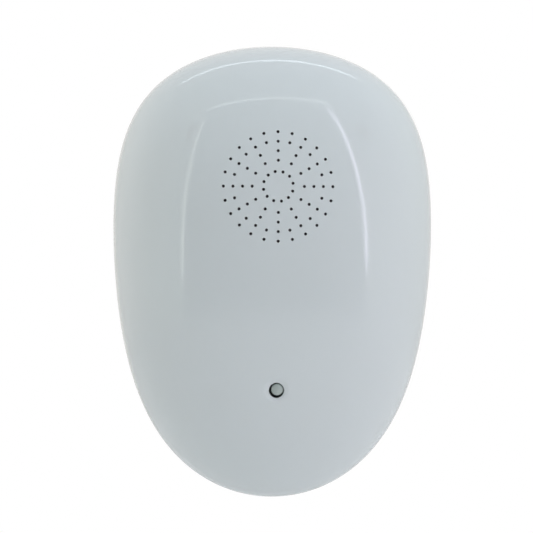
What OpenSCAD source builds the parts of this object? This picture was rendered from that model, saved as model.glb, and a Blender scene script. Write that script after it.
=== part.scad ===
// Ultrasonic pest repeller that plugs straight into a wall socket.
// It stands upright in use: +X is to the right seen from the front, +Y goes back
// into the wall and +Z is up. The origin is the centre of the plug's engagement
// face, midway between the two pins.
// Every sub-part is drawn lying on its back and upright() then stands it up, so
// in the modules x is to the right, y is up the wall and z is the distance forward
// from the plug's engagement face.

/* [Housing] */
// Width of the housing at its widest
body_w = 81.3; // [76:0.1:90]
// Height of the housing
body_h = 115; // [110:0.5:125]
// Depth of the domed front cover, from the parting line to its nose
front_depth = 25; // [24:0.5:30]
// Depth of the rear cover, from its flat back to the parting line
rear_depth = 16; // [16:0.5:20]
// Height of the housing's middle above the pins, negative when it hangs below them
body_y = -8; // [-10:0.5:-6]
// Wall thickness of both covers
wall = 2.2; // [2:0.1:2.6]

/* [Egg outline] */
// How much wider the upper half is than the lower half
egg_taper = 0.1025; // [0:0.0025:0.2]
// How full both ends are, where 0 is an ellipse
egg_fullness = 0.2625; // [0:0.0025:0.4]
// Extra fullness of the crown over the chin
egg_crown = 0.0775; // [0:0.0025:0.15]
// Height of the nose above the housing's middle
nose_rise = 12; // [8:0.5:16]
// Roundness of the front dome, where 2 is an ellipse
dome_power = 2.2; // [2:0.1:2.6]
// Share of the outline that the flat back takes
back_flat = 0.7; // [0.66:0.01:0.76]

/* [Sound grille] */
// Height of the grille's centre above the pins
grille_y = 13.4; // [13:0.1:15]
// Radius of the outermost ring of holes
grille_r = 13.75; // [13:0.05:14.5]
// Distance between neighbouring rings
grille_pitch = 2.4; // [2.3:0.02:2.6]
// Radius of the innermost ring, which stands apart
grille_core_r = 3.78; // [3.4:0.02:4.2]
// Turn of the innermost ring, in degrees
grille_core_turn = -12; // [-15:1:15]
// Diameter of one sound hole
sound_hole_d = 0.75; // [0.5:0.05:1]

/* [Indicator] */
// Height of the indicator above the pins
led_y = -37.8; // [-40:0.1:-37]
// Diameter of the indicator's lens
led_d = 3; // [2.8:0.1:3.2]
// Diameter of the hole that it looks out of
led_hole_d = 3.8; // [3.5:0.1:4.2]

/* [Plug] */
// Distance between the two pins
pin_gap = 18.6; // [17.5:0.1:19]
// Diameter of the bare metal end of a pin
pin_d = 4; // [3.9:0.1:4.1]
// Length of a pin beyond the engagement face
pin_l = 19; // [18:0.5:19.5]
// Length of the insulated part of a pin
sleeve_l = 10; // [9:0.5:11]
// Diameter of the insulated part
sleeve_d = 3.6; // [3.4:0.05:3.65]
// Width of the plug's boss
boss_w = 35.3; // [34:0.1:36]
// Thickness of the plug's boss
boss_t = 13.7; // [13:0.1:14]
// Distance that the boss stands out of the housing's back
boss_l = 17; // [15:0.5:18]

/* [Hidden] */
$fn = 48;

// Levels along z, from the engagement face forward
back_z = boss_l;                        // flat back of the housing
inner_back_z = back_z + wall;           // inside of the flat back
parting_z = back_z + rear_depth;        // where the two covers meet
nose_z = parting_z + front_depth;       // nose of the front cover
nose_y = body_y + nose_rise;            // height of the nose
seat_r = 17.8;
seat_inner_r = 15.2;
seat_z = parting_z + dome_rise(grille_y + seat_r, wall); // ring that the speaker is pressed against
cloth_t = 0.15;
gasket_t = 1;
speaker_t = 6.3;
speaker_z = seat_z - cloth_t - gasket_t - speaker_t;
board_t = 1.6;
board_front_z = parting_z + 10;
board_z = board_front_z - board_t;      // solder side faces forward, parts face back

// The joint between the covers
egg_steps = 72;
tongue_h = 2.3;
tongue_inset = 1.2;
rabbet_inset = 1.1;
rabbet_h = 2.5;
shadow_gap_h = 0.5;
shadow_gap_inset = 0.35;

// Fasteners: [thread radius, head radius, head height]
housing_screw = [1.5, 2.8, 2.2];
small_screw = [1.1, 2.1, 1.5];
housing_screw_at = [[-19.5, 25.5], [19.5, 25.5], [-13, -37.5], [13, -37.5]];
housing_screw_l = 18;
housing_bore_l = 12.5;                  // depth of the bores that they bite into
screw_play = 0.2;                       // clearance round a screw where it passes through
well_r = 3.2;
well_wall = 1.2;
well_floor_z = back_z + 10;
screw_boss_r = 3.2;
board_post_at = [[-20.5, -11], [20.5, -11], [-7, -43], [7, -43]];
post_r = 2.4;
small_screw_l = 6;
retainer_r = 20;
retainer_angles = [90, 210, 330];
ear_z = inner_back_z + 5.3;             // top of the two posts that hold the plug insert
ear_x = 23;
ear_t = 2;
ear_size = [6.4, 9];                    // what the ear plate takes round each of its screws

// Blank label in a shallow recess of the back
label_w = 38;
label_h = 18;
label_y = -21.5;
label_t = 0.12;
label_recess = 0.2;

// Speaker radii
speaker_r = 15.5;
cone_r = 13;
piezo_r = 7.5;
terminal_x = 4;
terminal_drop = 6.4;
retainer_t = 1.2;
retainer_hole_r = 10;
retainer_ear_r = 3;

// Circuit board
board_w = 50;
board_top_y = -6;
board_bottom_y = -47;
board_inset = 9;

// Parts on the back of the board, as [x, y]
suppression_at = [-9.5, -15.5];
fuse_at = [9.5, -10.2];
diode_at = [for (i = [0 : 3]) [3.5 + 3.6 * i, -16.6]];
reservoir_at = [-18.5, -26.5];
supply_at = [20.4, -25];
chip_at = [11.5, -26.2];
transformer_at = [0, -27.7];
transistor_at = [[-6, -37.2], [6, -37.2]];
resistor_at = [[18.4, -35], [21.6, -35], [-18.4, -37], [-21.6, -37]];
disc_at = [0, -44];
live_pad = [17.5, -8];
neutral_pad = [-17.5, -8];
speaker_pads = [[-2.5, -8], [2.5, -8]];
lead_r = 0.3;
pad_hole_r = 0.5;

// Half the distance between a part's leads, used for its pads and its leads
fuse_span = 6.8;
diode_span = 4;
resistor_span = 4.6;
suppression_span = 7.5;
reservoir_span = 2.5;
supply_span = 1.3;
disc_span = 2;
chip_span = 3.81;
chip_pitch = 2.54;
transistor_pitch = 1.27;
transistor_back = 0.6;                  // row of its legs behind a transistor's middle
bobbin_pin_x = [-5, 0, 5];
bobbin_pin_y = 5.6;
bobbin_pin_w = 0.6;

// Lying parts: barrel length, radius and height of the axis above the board
fuse_barrel = [9, 1.6, 2.2];
diode_barrel = [5.2, 1.35, 1.7];
resistor_barrel = [6.3, 1.15, 1.6];

// Wires: routes as lists of points from one joint to the other
wire_r = 0.8;
tail_z = ear_z + ear_t + 3.2;           // eye of the solder tab on each pin
terminal_y = grille_y - terminal_drop;            // lower side of the speaker's terminals
function mains_route(side, pad) = [
    [side * pin_gap / 2, -1.2, tail_z],
    [side * pin_gap / 2, -2.6, tail_z + 0.4],
    [side * (pin_gap / 2 + 2.5), -4.6, tail_z + 2.5],
    [side * (pin_gap / 2 + 6), -7, tail_z + 5.5],
    [pad[0], pad[1], board_z - 2.6],
    [pad[0], pad[1], board_z - 0.2]
];
function speaker_route(side, pad) = [
    [side * terminal_x, terminal_y - 0.8, speaker_z - 0.9],
    [side * terminal_x, terminal_y - 1.6, speaker_z - 2.6],
    [side * (terminal_x + 0.4), terminal_y - 6, speaker_z - 4.6],
    [side * 3.6, terminal_y - 11, speaker_z - 5.2],
    [pad[0], pad[1] + 0.4, board_z - 2.4],
    [pad[0], pad[1], board_z - 0.2]
];

// ---- Shared shapes ----

module upright() rotate([90, 0, 0]) children();

// Height of the front dome above the parting line at the height y on its middle line,
// or of the dome inside it that is smaller by inset all round
function dome_rise(y, inset = 0) =
    let (
        reach = y > nose_y ? body_y + body_h / 2 - inset - nose_y : nose_y - body_y + body_h / 2 - inset,
        share = abs(y - nose_y) / reach
    )
    (front_depth - inset) * pow(1 - pow(share, dome_power), 1 / dome_power);

// Half-width of the egg where cosine c is 1 at the crown and -1 at the chin
function egg_width(c) = 1 + egg_taper * c + egg_fullness * c * c + egg_crown * c * c * c;
egg_peak = max([for (t = [0 : 180]) sin(t) * egg_width(cos(t))]);

// Outline of the housing moved in by inset and shrunk by the factor s towards the nose
function egg(inset = 0, s = 1) = [
    for (i = [0 : egg_steps - 1])
        let (
            t = -360 * i / egg_steps,
            x = (body_w / 2 - inset) * sin(t) * egg_width(cos(t)) / egg_peak,
            y = body_y + (body_h / 2 - inset) * cos(t)
        )
        [s * x, nose_y + s * (y - nose_y)]
];

// Closed dome that rises by depth from the housing's outline, with a flat top that
// takes the share flat of it. The facets are flat because each ring is a scaled copy.
module dome(inset, depth, flat, power, rings) {
    last = flat > 0 ? rings : rings - 1;
    function share(i) = flat + (1 - flat) * pow(cos(90 * i / rings), 2 / power);
    function rise(i) = depth * pow(sin(90 * i / rings), 2 / power);
    walls = [for (i = [0 : last]) for (p = egg(inset, share(i))) [p[0], p[1], rise(i)]];
    top_centre = [0, nose_y, depth];
    n = egg_steps;
    top = last * n;
    polyhedron(
        points = concat(walls, [top_centre]),
        faces = concat(
            [[for (j = [0 : n - 1]) j]],
            [for (i = [0 : last - 1]) for (j = [0 : n - 1])
                let (a = i * n + j, b = i * n + (j + 1) % n)
                [a, a + n, b + n, b]],
            flat > 0
                ? [[for (j = [n - 1 : -1 : 0]) top + j]]
                : [for (j = [0 : n - 1]) [top + j, len(walls), top + (j + 1) % n]]
        )
    );
}

// Flat plate with the housing's outline
module egg_plate(inset, height) linear_extrude(height) polygon(egg(inset));

// Where identical pieces stand
module at_each(places, z = 0) for (p = places) translate([p[0], p[1], z]) children();

// Points of a smooth curve through the given ones, with a few more between each pair
function curve_through(p, steps = 4) = [
    for (i = [0 : len(p) - 2]) for (k = [0 : steps - 1])
        let (
            a = p[max(i - 1, 0)], b = p[i], c = p[i + 1], d = p[min(i + 2, len(p) - 1)],
            t = k / steps
        )
        0.5 * (2 * b + (c - a) * t + (2 * a - 5 * b + 4 * c - d) * t * t
            + (3 * b - a - 3 * c + d) * t * t * t),
    p[len(p) - 1]
];

function unit(v) = v / norm(v);

// Tube along a list of points
module tube(path, r, sides = 8) {
    n = len(path);
    side_hint = [1, 0.15, 0.1];
    function along(i) = unit(path[min(i + 1, n - 1)] - path[max(i - 1, 0)]);
    rings = [
        for (i = [0 : n - 1])
            let (u = unit(cross(along(i), side_hint)), v = cross(along(i), u))
            for (j = [0 : sides - 1])
                path[i] + r * (cos(360 * j / sides) * u + sin(360 * j / sides) * v)
    ];
    polyhedron(
        points = rings,
        faces = concat(
            [[for (j = [0 : sides - 1]) j]],
            [for (i = [0 : n - 2]) for (j = [0 : sides - 1])
                let (a = i * sides + j, b = i * sides + (j + 1) % sides)
                [a, a + sides, b + sides, b]],
            [[for (j = [sides - 1 : -1 : 0]) (n - 1) * sides + j]]
        )
    );
}

// Tapping screw that points up, with the underside of its head at z = 0
module tapping_screw(kind, length) {
    crest = kind[0];
    head_r = kind[1];
    head_h = kind[2];
    core = crest * 0.78;
    pitch = crest * 0.8;
    point_l = 1.6 * crest;
    turns = floor((length - point_l) / pitch);
    thread = [
        for (i = [0 : turns - 1])
            let (z = i * pitch)
            each [[core, z], [crest, z + pitch * 0.45], [crest, z + pitch * 0.55]]
    ];
    difference() {
        rotate_extrude()
            polygon(concat(
                [[0, -head_h], [head_r * 0.72, -head_h], [head_r, -head_h * 0.55], [head_r, 0]],
                thread,
                [[core, turns * pitch], [core * 0.35, length], [0, length]]
            ));
        for (turn = [0, 90])
            rotate(turn)
                translate([0, 0, -head_h + head_h * 0.3])
                    cube([head_r * 1.1, head_r * 0.24, head_h * 0.62], center = true);
    }
}

// ---- Housing ----

module sound_holes() {
    outer_rings = [[0, 24], [1, 24], [2, 12], [3, 12]];
    translate([0, grille_y, seat_z - 1]) {
        for (ring = outer_rings)
            for (i = [0 : ring[1] - 1])
                rotate(i * 360 / ring[1])
                    translate([0, grille_r - ring[0] * grille_pitch, 0])
                        cylinder(d = sound_hole_d, h = nose_z, $fn = 16);
        for (i = [0 : 11])
            rotate(-grille_core_turn + i * 30)
                translate([0, grille_core_r, 0])
                    cylinder(d = sound_hole_d, h = nose_z, $fn = 16);
    }
}

// Everything that stands inside the front cover
module front_fittings() {
    high = front_depth;
    at_each(housing_screw_at, parting_z) cylinder(r = screw_boss_r, h = high);
    at_each(board_post_at, board_front_z) cylinder(r = post_r, h = high);
    translate([0, grille_y, 0]) {
        translate([0, 0, seat_z])
            difference() {
                cylinder(r = seat_r, h = high, $fn = 96);
                translate([0, 0, -1]) cylinder(r = seat_inner_r, h = high + 2, $fn = 96);
            }
        for (a = retainer_angles)
            rotate(a)
                translate([retainer_r, 0, speaker_z])
                    cylinder(r = post_r, h = high);
    }
}

// Shallow hollow round the indicator's hole
led_surface_z = parting_z + dome_rise(led_y);
led_lip_w = 1.5;
led_lip_h = 0.4;

module led_hole() translate([0, led_y, 0]) {
    translate([0, 0, board_z]) cylinder(d = led_hole_d, h = front_depth + 5);
    translate([0, 0, led_surface_z - led_lip_h])
        cylinder(r1 = led_hole_d / 2, r2 = led_hole_d / 2 + 3 * led_lip_w, h = 3 * led_lip_h);
}

module front_cover() color("whitesmoke") upright() difference() {
    translate([0, 0, parting_z]) dome(0, front_depth, 0, dome_power, 15);
    difference() {
        translate([0, 0, parting_z]) dome(wall, front_depth - wall, 0, dome_power, 12);
        front_fittings();
    }
    difference() {
        translate([0, 0, parting_z - 1]) egg_plate(rabbet_inset, rabbet_h + 1);
        translate([0, 0, parting_z - 2]) egg_plate(wall + 0.4, rabbet_h + 4);
    }
    sound_holes();
    led_hole();
    at_each(housing_screw_at, parting_z - 1) cylinder(r = housing_screw[0], h = housing_bore_l + 1);
    at_each(board_post_at, board_front_z - 1) cylinder(r = small_screw[0], h = small_screw_l + 1);
    translate([0, grille_y, 0])
        for (a = retainer_angles)
            rotate(a)
                translate([retainer_r, 0, speaker_z - 1])
                    cylinder(r = small_screw[0], h = small_screw_l + 1);
}

// Flattened hexagon of the two-pin plug, grown by more on each side
boss_slope = 4.6;
boss_blunt = 2.4;
boss_round = 1.2;
function boss_corners(more) = [
    for (side = [[1, 1], [-1, 1], [-1, -1], [1, -1]])
        let (
            w = boss_w / 2 + more,
            t = boss_t / 2 + more,
            end = [side[0] * w, side[1] * boss_blunt],
            top = [side[0] * (w - boss_slope), side[1] * t]
        )
        each side[0] * side[1] > 0 ? [end, top] : [top, end]
];

// Corners of a convex outline rounded off, starting and ending each arc at distance cut
function rounded(p, cut, steps = 4) = [
    for (i = [0 : len(p) - 1])
        let (
            corner = p[i],
            a = corner + cut * unit(p[(i + len(p) - 1) % len(p)] - corner),
            b = corner + cut * unit(p[(i + 1) % len(p)] - corner)
        )
        for (k = [0 : steps])
            let (t = k / steps)
            (1 - t) * (1 - t) * a + 2 * t * (1 - t) * corner + t * t * b
];

module boss_prism(more, height)
    linear_extrude(height) polygon(rounded(boss_corners(more), boss_round));

module rear_cover() color("white") upright() difference() {
    rim_z = parting_z - shadow_gap_h;
    union() {
        translate([0, 0, rim_z]) mirror([0, 0, 1]) dome(0, rear_depth - shadow_gap_h, back_flat, 2, 9);
        translate([0, 0, rim_z]) egg_plate(shadow_gap_inset, shadow_gap_h);
        translate([0, 0, parting_z])
            difference() {
                egg_plate(tongue_inset, tongue_h);
                translate([0, 0, -1]) egg_plate(wall, tongue_h + 2);
            }
    }
    difference() {
        translate([0, 0, parting_z + 0.01])
            mirror([0, 0, 1])
                dome(wall, rear_depth - wall + 0.01, back_flat, 2, 7);
        at_each(housing_screw_at, back_z) cylinder(r = well_r + well_wall, h = rear_depth);
        for (side = [-1, 1])
            translate([side * ear_x, 0, back_z]) cylinder(r = post_r, h = ear_z - back_z);
    }
    at_each(housing_screw_at, back_z - 1) cylinder(r = well_r, h = well_floor_z - back_z + 1);
    at_each(housing_screw_at, back_z) cylinder(r = housing_screw[0] + screw_play, h = rear_depth + 1);
    for (side = [-1, 1])
        translate([side * ear_x, 0, inner_back_z - 0.4]) cylinder(r = small_screw[0], h = rear_depth);
    translate([0, 0, back_z - 1]) boss_prism(0.1, wall + 2);
    translate([0, label_y, back_z - 1 + label_recess])
        linear_extrude(1) square([label_w + 0.5, label_h + 0.5], center = true);
}

module rating_label() color("gainsboro") upright()
    translate([0, label_y, back_z + label_recess - label_t])
        linear_extrude(label_t) square([label_w, label_h], center = true);

// ---- Plug ----

sleeve_wall = 0.4;
sleeve_root = 3;                        // how far a sleeve runs into the boss
anchor_z = [9, 12];                     // the collar that holds a pin in the boss
tab = [2.8, 0.9, 5];                    // solder tab at the inner end of a pin
eye_r = 0.7;
flange_more = 2.6;                      // flange that keeps the insert from coming out
flange_t = 2;

// Turned pin, drawn along its own axis from the tip to the collar that anchors it
function pin_profile() =
    let (r = pin_d / 2, shank = sleeve_d / 2 - sleeve_wall, anchor = pin_d / 2 + 0.8)
    concat(
        [for (a = [-90 : 15 : 0]) [r * cos(a), -pin_l + r + r * sin(a)]],
        [[r, -sleeve_l], [shank, -sleeve_l], [shank, anchor_z[0]], [anchor, anchor_z[0]],
         [anchor, anchor_z[1]], [shank, anchor_z[1]], [shank, ear_z + ear_t], [0, ear_z + ear_t]]
    );

module pin_body(side) translate([side * pin_gap / 2, 0, 0]) rotate_extrude() polygon(pin_profile());

module plug_pin(side) {
    pin_body(side);
    translate([side * pin_gap / 2, 0, ear_z + ear_t])
        difference() {
            translate([-tab[0] / 2, -tab[1] / 2, 0]) cube(tab);
            translate([0, 0, tail_z - ear_z - ear_t])
                rotate([90, 0, 0]) cylinder(r = eye_r, h = 4, center = true, $fn = 24);
        }
}

module live_pin() color("silver") upright() plug_pin(1);
module neutral_pin() color("silver") upright() plug_pin(-1);

// Insulating sleeve, which runs a little way into the boss
module pin_sleeve(side) translate([side * pin_gap / 2, 0, -sleeve_l])
    difference() {
        cylinder(d = sleeve_d, h = sleeve_l + sleeve_root);
        translate([0, 0, -1]) cylinder(r = sleeve_d / 2 - sleeve_wall, h = sleeve_l + sleeve_root + 2);
    }

module live_pin_sleeve() color("dimgray") upright() pin_sleeve(1);
module neutral_pin_sleeve() color("dimgray") upright() pin_sleeve(-1);

module plug_insert() color("white") upright() difference() {
    union() {
        boss_prism(0, ear_z + ear_t);
        translate([0, 0, inner_back_z]) boss_prism(flange_more, flange_t);
        translate([-ear_x - ear_size[0] / 2, -ear_size[1] / 2, ear_z])
            cube([2 * ear_x + ear_size[0], ear_size[1], ear_t]);
    }
    for (side = [-1, 1]) {
        pin_body(side);
        translate([side * pin_gap / 2, 0, -1]) cylinder(d = sleeve_d, h = sleeve_root + 1);
        translate([side * ear_x, 0, ear_z - 1]) cylinder(r = small_screw[0] + screw_play, h = ear_t + 2);
    }
}

module insert_screws() color("gray") upright()
    for (side = [-1, 1])
        translate([side * ear_x, 0, ear_z + ear_t])
            mirror([0, 0, 1]) tapping_screw(small_screw, small_screw_l);

module housing_screws() color("gray") upright()
    at_each(housing_screw_at, well_floor_z) tapping_screw(housing_screw, housing_screw_l);

// ---- Speaker ----

module on_grille_axis(z) translate([0, grille_y, z]) children();

module grille_cloth() color("black") upright()
    on_grille_axis(seat_z - cloth_t) cylinder(r = seat_r - 0.6, h = cloth_t, $fn = 96);

module speaker_gasket() color("dimgray") upright()
    on_grille_axis(seat_z - cloth_t - gasket_t)
        difference() {
            cylinder(r = speaker_r, h = gasket_t, $fn = 96);
            translate([0, 0, -1]) cylinder(r = cone_r + 0.3, h = gasket_t + 2, $fn = 96);
        }

module speaker_frame() color("darkslategray") upright()
    on_grille_axis(speaker_z)
        rotate_extrude($fn = 96)
            polygon([
                [0, 0], [11, 0], [12.2, 1.2], [12.2, 4.6], [speaker_r, 4.6], [speaker_r, speaker_t],
                [cone_r + 0.3, speaker_t], [cone_r + 0.3, 5.9], [11.4, 5.9], [11.4, 1.4],
                [10.6, 0.8], [0, 0.8]
            ]);

// Shallow cone that hangs from its rim and is driven at its middle
module speaker_cone() color("silver") upright()
    on_grille_axis(speaker_z + 2.4)
        rotate_extrude($fn = 96)
            polygon([
                [0, 0], [3, 0], [10.8, 3.5], [cone_r, 3.5], [cone_r, 3.8],
                [10.7, 3.8], [2.9, 0.3], [0, 0.3]
            ]);

module piezo_plate() color("goldenrod") upright()
    on_grille_axis(speaker_z + 2.2) cylinder(r = piezo_r, h = 0.2, $fn = 72);

module piezo_ceramic() color("ivory") upright()
    on_grille_axis(speaker_z + 1.95) cylinder(r = piezo_r - 2.2, h = 0.25, $fn = 72);

module speaker_terminals() color("silver") upright()
    for (side = [-1, 1])
        on_grille_axis(speaker_z - 1.8)
            translate([side * terminal_x - 1, -terminal_drop, 0]) cube([2, 0.6, 1.8]);

module speaker_retainer() color("lightgray") upright()
    on_grille_axis(speaker_z - retainer_t)
        difference() {
            union() {
                cylinder(r = speaker_r, h = retainer_t, $fn = 96);
                for (a = retainer_angles)
                    rotate(a) {
                        translate([retainer_r, 0, 0]) cylinder(r = retainer_ear_r, h = retainer_t);
                        translate([cone_r, -retainer_ear_r, 0])
                            cube([retainer_r - cone_r, 2 * retainer_ear_r, retainer_t]);
                    }
            }
            translate([0, 0, -1]) cylinder(r = retainer_hole_r, h = 4, $fn = 96);
            for (a = retainer_angles)
                rotate(a) translate([retainer_r, 0, -1]) cylinder(r = small_screw[0] + screw_play, h = 4);
        }

module retainer_screws() color("gray") upright()
    on_grille_axis(speaker_z - retainer_t)
        for (a = retainer_angles)
            rotate(a) translate([retainer_r, 0, 0]) tapping_screw(small_screw, small_screw_l);

module speaker_wire(side, pad) tube(curve_through(speaker_route(side, pad)), wire_r * 0.75);
module speaker_wire_red() color("firebrick") upright() speaker_wire(1, speaker_pads[1]);
module speaker_wire_black() color("black") upright() speaker_wire(-1, speaker_pads[0]);

// ---- Circuit board ----

module circuit_board() color("peru") upright() difference() {
    translate([0, 0, board_z])
        intersection() {
            egg_plate(board_inset, board_t);
            translate([-board_w / 2, board_bottom_y, -1])
                cube([board_w, board_top_y - board_bottom_y, board_t + 2]);
        }
    for (i = [2, 3])
        translate([housing_screw_at[i][0], housing_screw_at[i][1], board_z - 1])
            cylinder(r = screw_boss_r + 0.4, h = board_t + 2);
    at_each(board_post_at, board_z - 1) cylinder(r = small_screw[0] + screw_play, h = board_t + 2);
    at_each(concat(solder_pads, led_pads), board_z - 1)
        cylinder(r = pad_hole_r, h = board_t + 2, $fn = 16);
}

module board_screws() color("gray") upright()
    at_each(board_post_at, board_z) tapping_screw(small_screw, small_screw_l);

// Pads of every lead that goes through the board
chip_rows = [
    for (side = [-1, 1]) for (i = [0 : 3])
        [chip_at[0] + side * chip_span, chip_at[1] + chip_pitch * (i - 1.5)]
];
axial_pads = concat(
    [for (side = [-1, 1]) [fuse_at[0] + side * fuse_span, fuse_at[1]]],
    [for (p = diode_at) for (side = [-1, 1]) [p[0], p[1] + side * diode_span]],
    [for (p = resistor_at) for (side = [-1, 1]) [p[0], p[1] + side * resistor_span]]
);
transistor_pads = [
    for (p = transistor_at) for (k = [-1 : 1])
        [p[0] + transistor_pitch * k, p[1] + transistor_back]
];
led_at = [0.2, led_y + 0.24];           // the indicator sits a little off its hole's middle
led_lead_x = 1.27;
led_pads = [for (side = [-1, 1]) [led_at[0] + side * led_lead_x, led_at[1]]];
solder_pads = concat(
    chip_rows, axial_pads, transistor_pads, speaker_pads, [live_pad, neutral_pad],
    [for (side = [-1, 1]) [suppression_at[0] + side * suppression_span, suppression_at[1]]],
    [for (side = [-1, 1]) [reservoir_at[0] + side * reservoir_span, reservoir_at[1]]],
    [for (side = [-1, 1]) [supply_at[0], supply_at[1] + side * supply_span]],
    [for (side = [-1, 1]) [disc_at[0] + side * disc_span, disc_at[1]]],
    [for (x = bobbin_pin_x) for (side = [-1, 1])
        [transformer_at[0] + x, transformer_at[1] + side * bobbin_pin_y]]
);

// The indicator stands on the other side of the board from everything else
module solder_joint() cylinder(r1 = 0.95, r2 = 0.3, h = 1.1, $fn = 16);

module solder_joints() color("lightgray") upright() {
    at_each(solder_pads, board_front_z) solder_joint();
    at_each(led_pads, board_z) mirror([0, 0, 1]) solder_joint();
}

// ---- Indicator ----

led_l = 5;
led_crown = 0.9;
led_proud = 0.05;
led_rim = [0.4, 1];                     // rim at the lens's foot: how far it stands out, its height
led_lead_w = 0.5;
led_spacer_r = 2.1;
led_slot_w = 0.7;
led_base_z = led_surface_z + led_proud - led_l;

module led_lens() color("honeydew") upright()
    translate([led_at[0], led_at[1], led_base_z])
        rotate_extrude()
            polygon(concat(
                [[0, 0], [led_d / 2 + led_rim[0], 0], [led_d / 2 + led_rim[0], led_rim[1]],
                 [led_d / 2, led_rim[1]]],
                [for (a = [0 : 10 : 90]) [led_d / 2 * cos(a), led_l - led_crown + led_crown * sin(a)]]
            ));

module led_leads() color("silver") upright()
    for (p = led_pads)
        translate([p[0] - led_lead_w / 2, p[1] - led_lead_w / 2, board_z])
            cube([led_lead_w, led_lead_w, led_base_z - board_z]);

module led_spacer() color("white") upright()
    translate([led_at[0], led_at[1], board_front_z])
        difference() {
            cylinder(r = led_spacer_r, h = led_base_z - board_front_z);
            for (side = [-1, 1])
                translate([side * led_lead_x - led_slot_w / 2, -led_slot_w / 2, -1])
                    cube([led_slot_w, led_slot_w, 20]);
        }

// ---- Parts on the back of the board, which reach towards the plug ----

module behind_board(at) translate([at[0], at[1], board_z]) mirror([0, 0, 1]) children();

module suppression_capacitor() color("gold") upright()
    behind_board(suppression_at)
        translate([-9, -3.75, 0]) cube([18, 7.5, 12.5]);

// Can of an electrolytic capacitor with the rolled groove near its base
module can(r, h) rotate_extrude()
    polygon([
        [0, 0], [r * 0.92, 0], [r, 0.5], [r, 1.4], [r * 0.93, 1.9], [r, 2.4],
        [r, h - 0.5], [r * 0.93, h], [r * 0.8, h], [r * 0.8, h - 0.3], [0, h - 0.3]
    ]);

module reservoir_capacitor() color("midnightblue") upright() behind_board(reservoir_at) can(5, 16);
module supply_capacitor() color("darkgreen") upright() behind_board(supply_at) can(3.15, 11);

module disc_capacitor() color("chocolate") upright()
    behind_board(disc_at)
        translate([0, 0, 3.6]) rotate([90, 0, 0])
            rotate_extrude()
                polygon([[0, -1.2], [1.8, -1.2], [2.5, -0.5], [2.5, 0.5], [1.8, 1.2], [0, 1.2]]);

// Barrel of a resistor or diode that lies on the board along y,
// that narrows to the share waist between its ends; size as in fuse_barrel
module barrel(size, waist) {
    l = size[0];
    r = size[1];
    translate([0, 0, size[2]]) rotate([90, 0, 0])
        rotate_extrude()
            polygon([
                [0, -l / 2], [r * 0.75, -l / 2], [r, -l / 2 + 0.4], [r, -l * 0.25], [r * waist, -l * 0.2],
                [r * waist, l * 0.2], [r, l * 0.25], [r, l / 2 - 0.4], [r * 0.75, l / 2], [0, l / 2]
            ]);
}

module fuse_resistor() color("seagreen") upright()
    behind_board(fuse_at) rotate(90) barrel(fuse_barrel, 0.99);

module resistors() color("burlywood") upright()
    for (p = resistor_at) behind_board(p) barrel(resistor_barrel, 0.85);

module rectifier_diodes() color("dimgray") upright()
    for (p = diode_at) behind_board(p) barrel(diode_barrel, 0.99);

// Bent lead wires at both ends of a barrel.
// The level run is a little thinner so that it ends inside the upright one.
module axial_leads(span, size) for (side = [-1, 1]) {
    end = size[0] / 2;
    translate([0, side * span, -board_t])
        cylinder(r = lead_r, h = size[2] + board_t + lead_r, $fn = 16);
    translate([0, side * end, size[2]])
        rotate([-90 * side, 0, 0]) cylinder(r = 0.85 * lead_r, h = span - end, $fn = 16);
}

// Straight pair of leads under a standing part
module standing_leads(at, half) for (side = [-1, 1])
    translate([at[0] + side * half[0], at[1] + side * half[1], board_z])
        cylinder(r = lead_r, h = board_t, $fn = 16);

module component_leads() color("silver") upright() {
    behind_board(fuse_at) rotate(90) axial_leads(fuse_span, fuse_barrel);
    for (p = diode_at) behind_board(p) axial_leads(diode_span, diode_barrel);
    for (p = resistor_at) behind_board(p) axial_leads(resistor_span, resistor_barrel);
    standing_leads(suppression_at, [suppression_span, 0]);
    standing_leads(reservoir_at, [reservoir_span, 0]);
    standing_leads(supply_at, [0, supply_span]);
    behind_board(disc_at) for (side = [-1, 1])
        translate([side * disc_span, 0, -board_t]) cylinder(r = lead_r, h = board_t + 1.8, $fn = 16);
}

module controller_chip() color("dimgray") upright()
    behind_board(chip_at)
        difference() {
            translate([-3.2, -4.9, 0.6]) cube([6.4, 9.8, 3.3]);
            translate([0, 4.9, 3.5]) cylinder(r = 0.8, h = 2);
        }

module controller_legs() color("silver") upright()
    for (p = chip_rows)
        let (side = sign(p[0] - chip_at[0]))
        behind_board(p) {
            translate([-0.13, -0.25, -board_t]) cube([0.26, 0.5, board_t + 2.4]);
            translate([side > 0 ? -0.61 : 0, -0.7, 2.15]) cube([0.61, 1.4, 0.25]);
        }

module driver_transistors() color("dimgray") upright()
    for (p = transistor_at)
        behind_board(p)
            translate([0, 0, 3])
                intersection() {
                    cylinder(r = 2.35, h = 4.8);
                    translate([-3, -3, -1]) cube([6, 4.4, 7]);
                }

module transistor_legs() color("silver") upright()
    for (p = transistor_pads)
        behind_board(p) translate([-0.22, -0.22, -board_t]) cube([0.44, 0.44, 3 + board_t]);

// ---- Step-up transformer ----

core_w = 13;
core_h = 12;
core_t = 6;
leg_w = 3;
window_x = 5.1;
window_y = 4.2;
core_z = 6.2;                           // middle of the core above the board
bobbin_r = 3.7;
bobbin_cheek = [5, 0.6];                // radius and thickness of the bobbin's end plates
bobbin_foot = [11.6, 2.4, 2.9];
winding_r = 4.9;

module transformer_core() color("darkslategray") upright()
    behind_board(transformer_at)
        translate([0, 0, core_z])
            difference() {
                cube([core_w, core_h, core_t], center = true);
                for (side = [-1, 1])
                    translate([side * (window_x + leg_w / 2) / 2, 0, 0])
                        cube([window_x - leg_w / 2, 2 * window_y, core_t + 2], center = true);
            }

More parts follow.
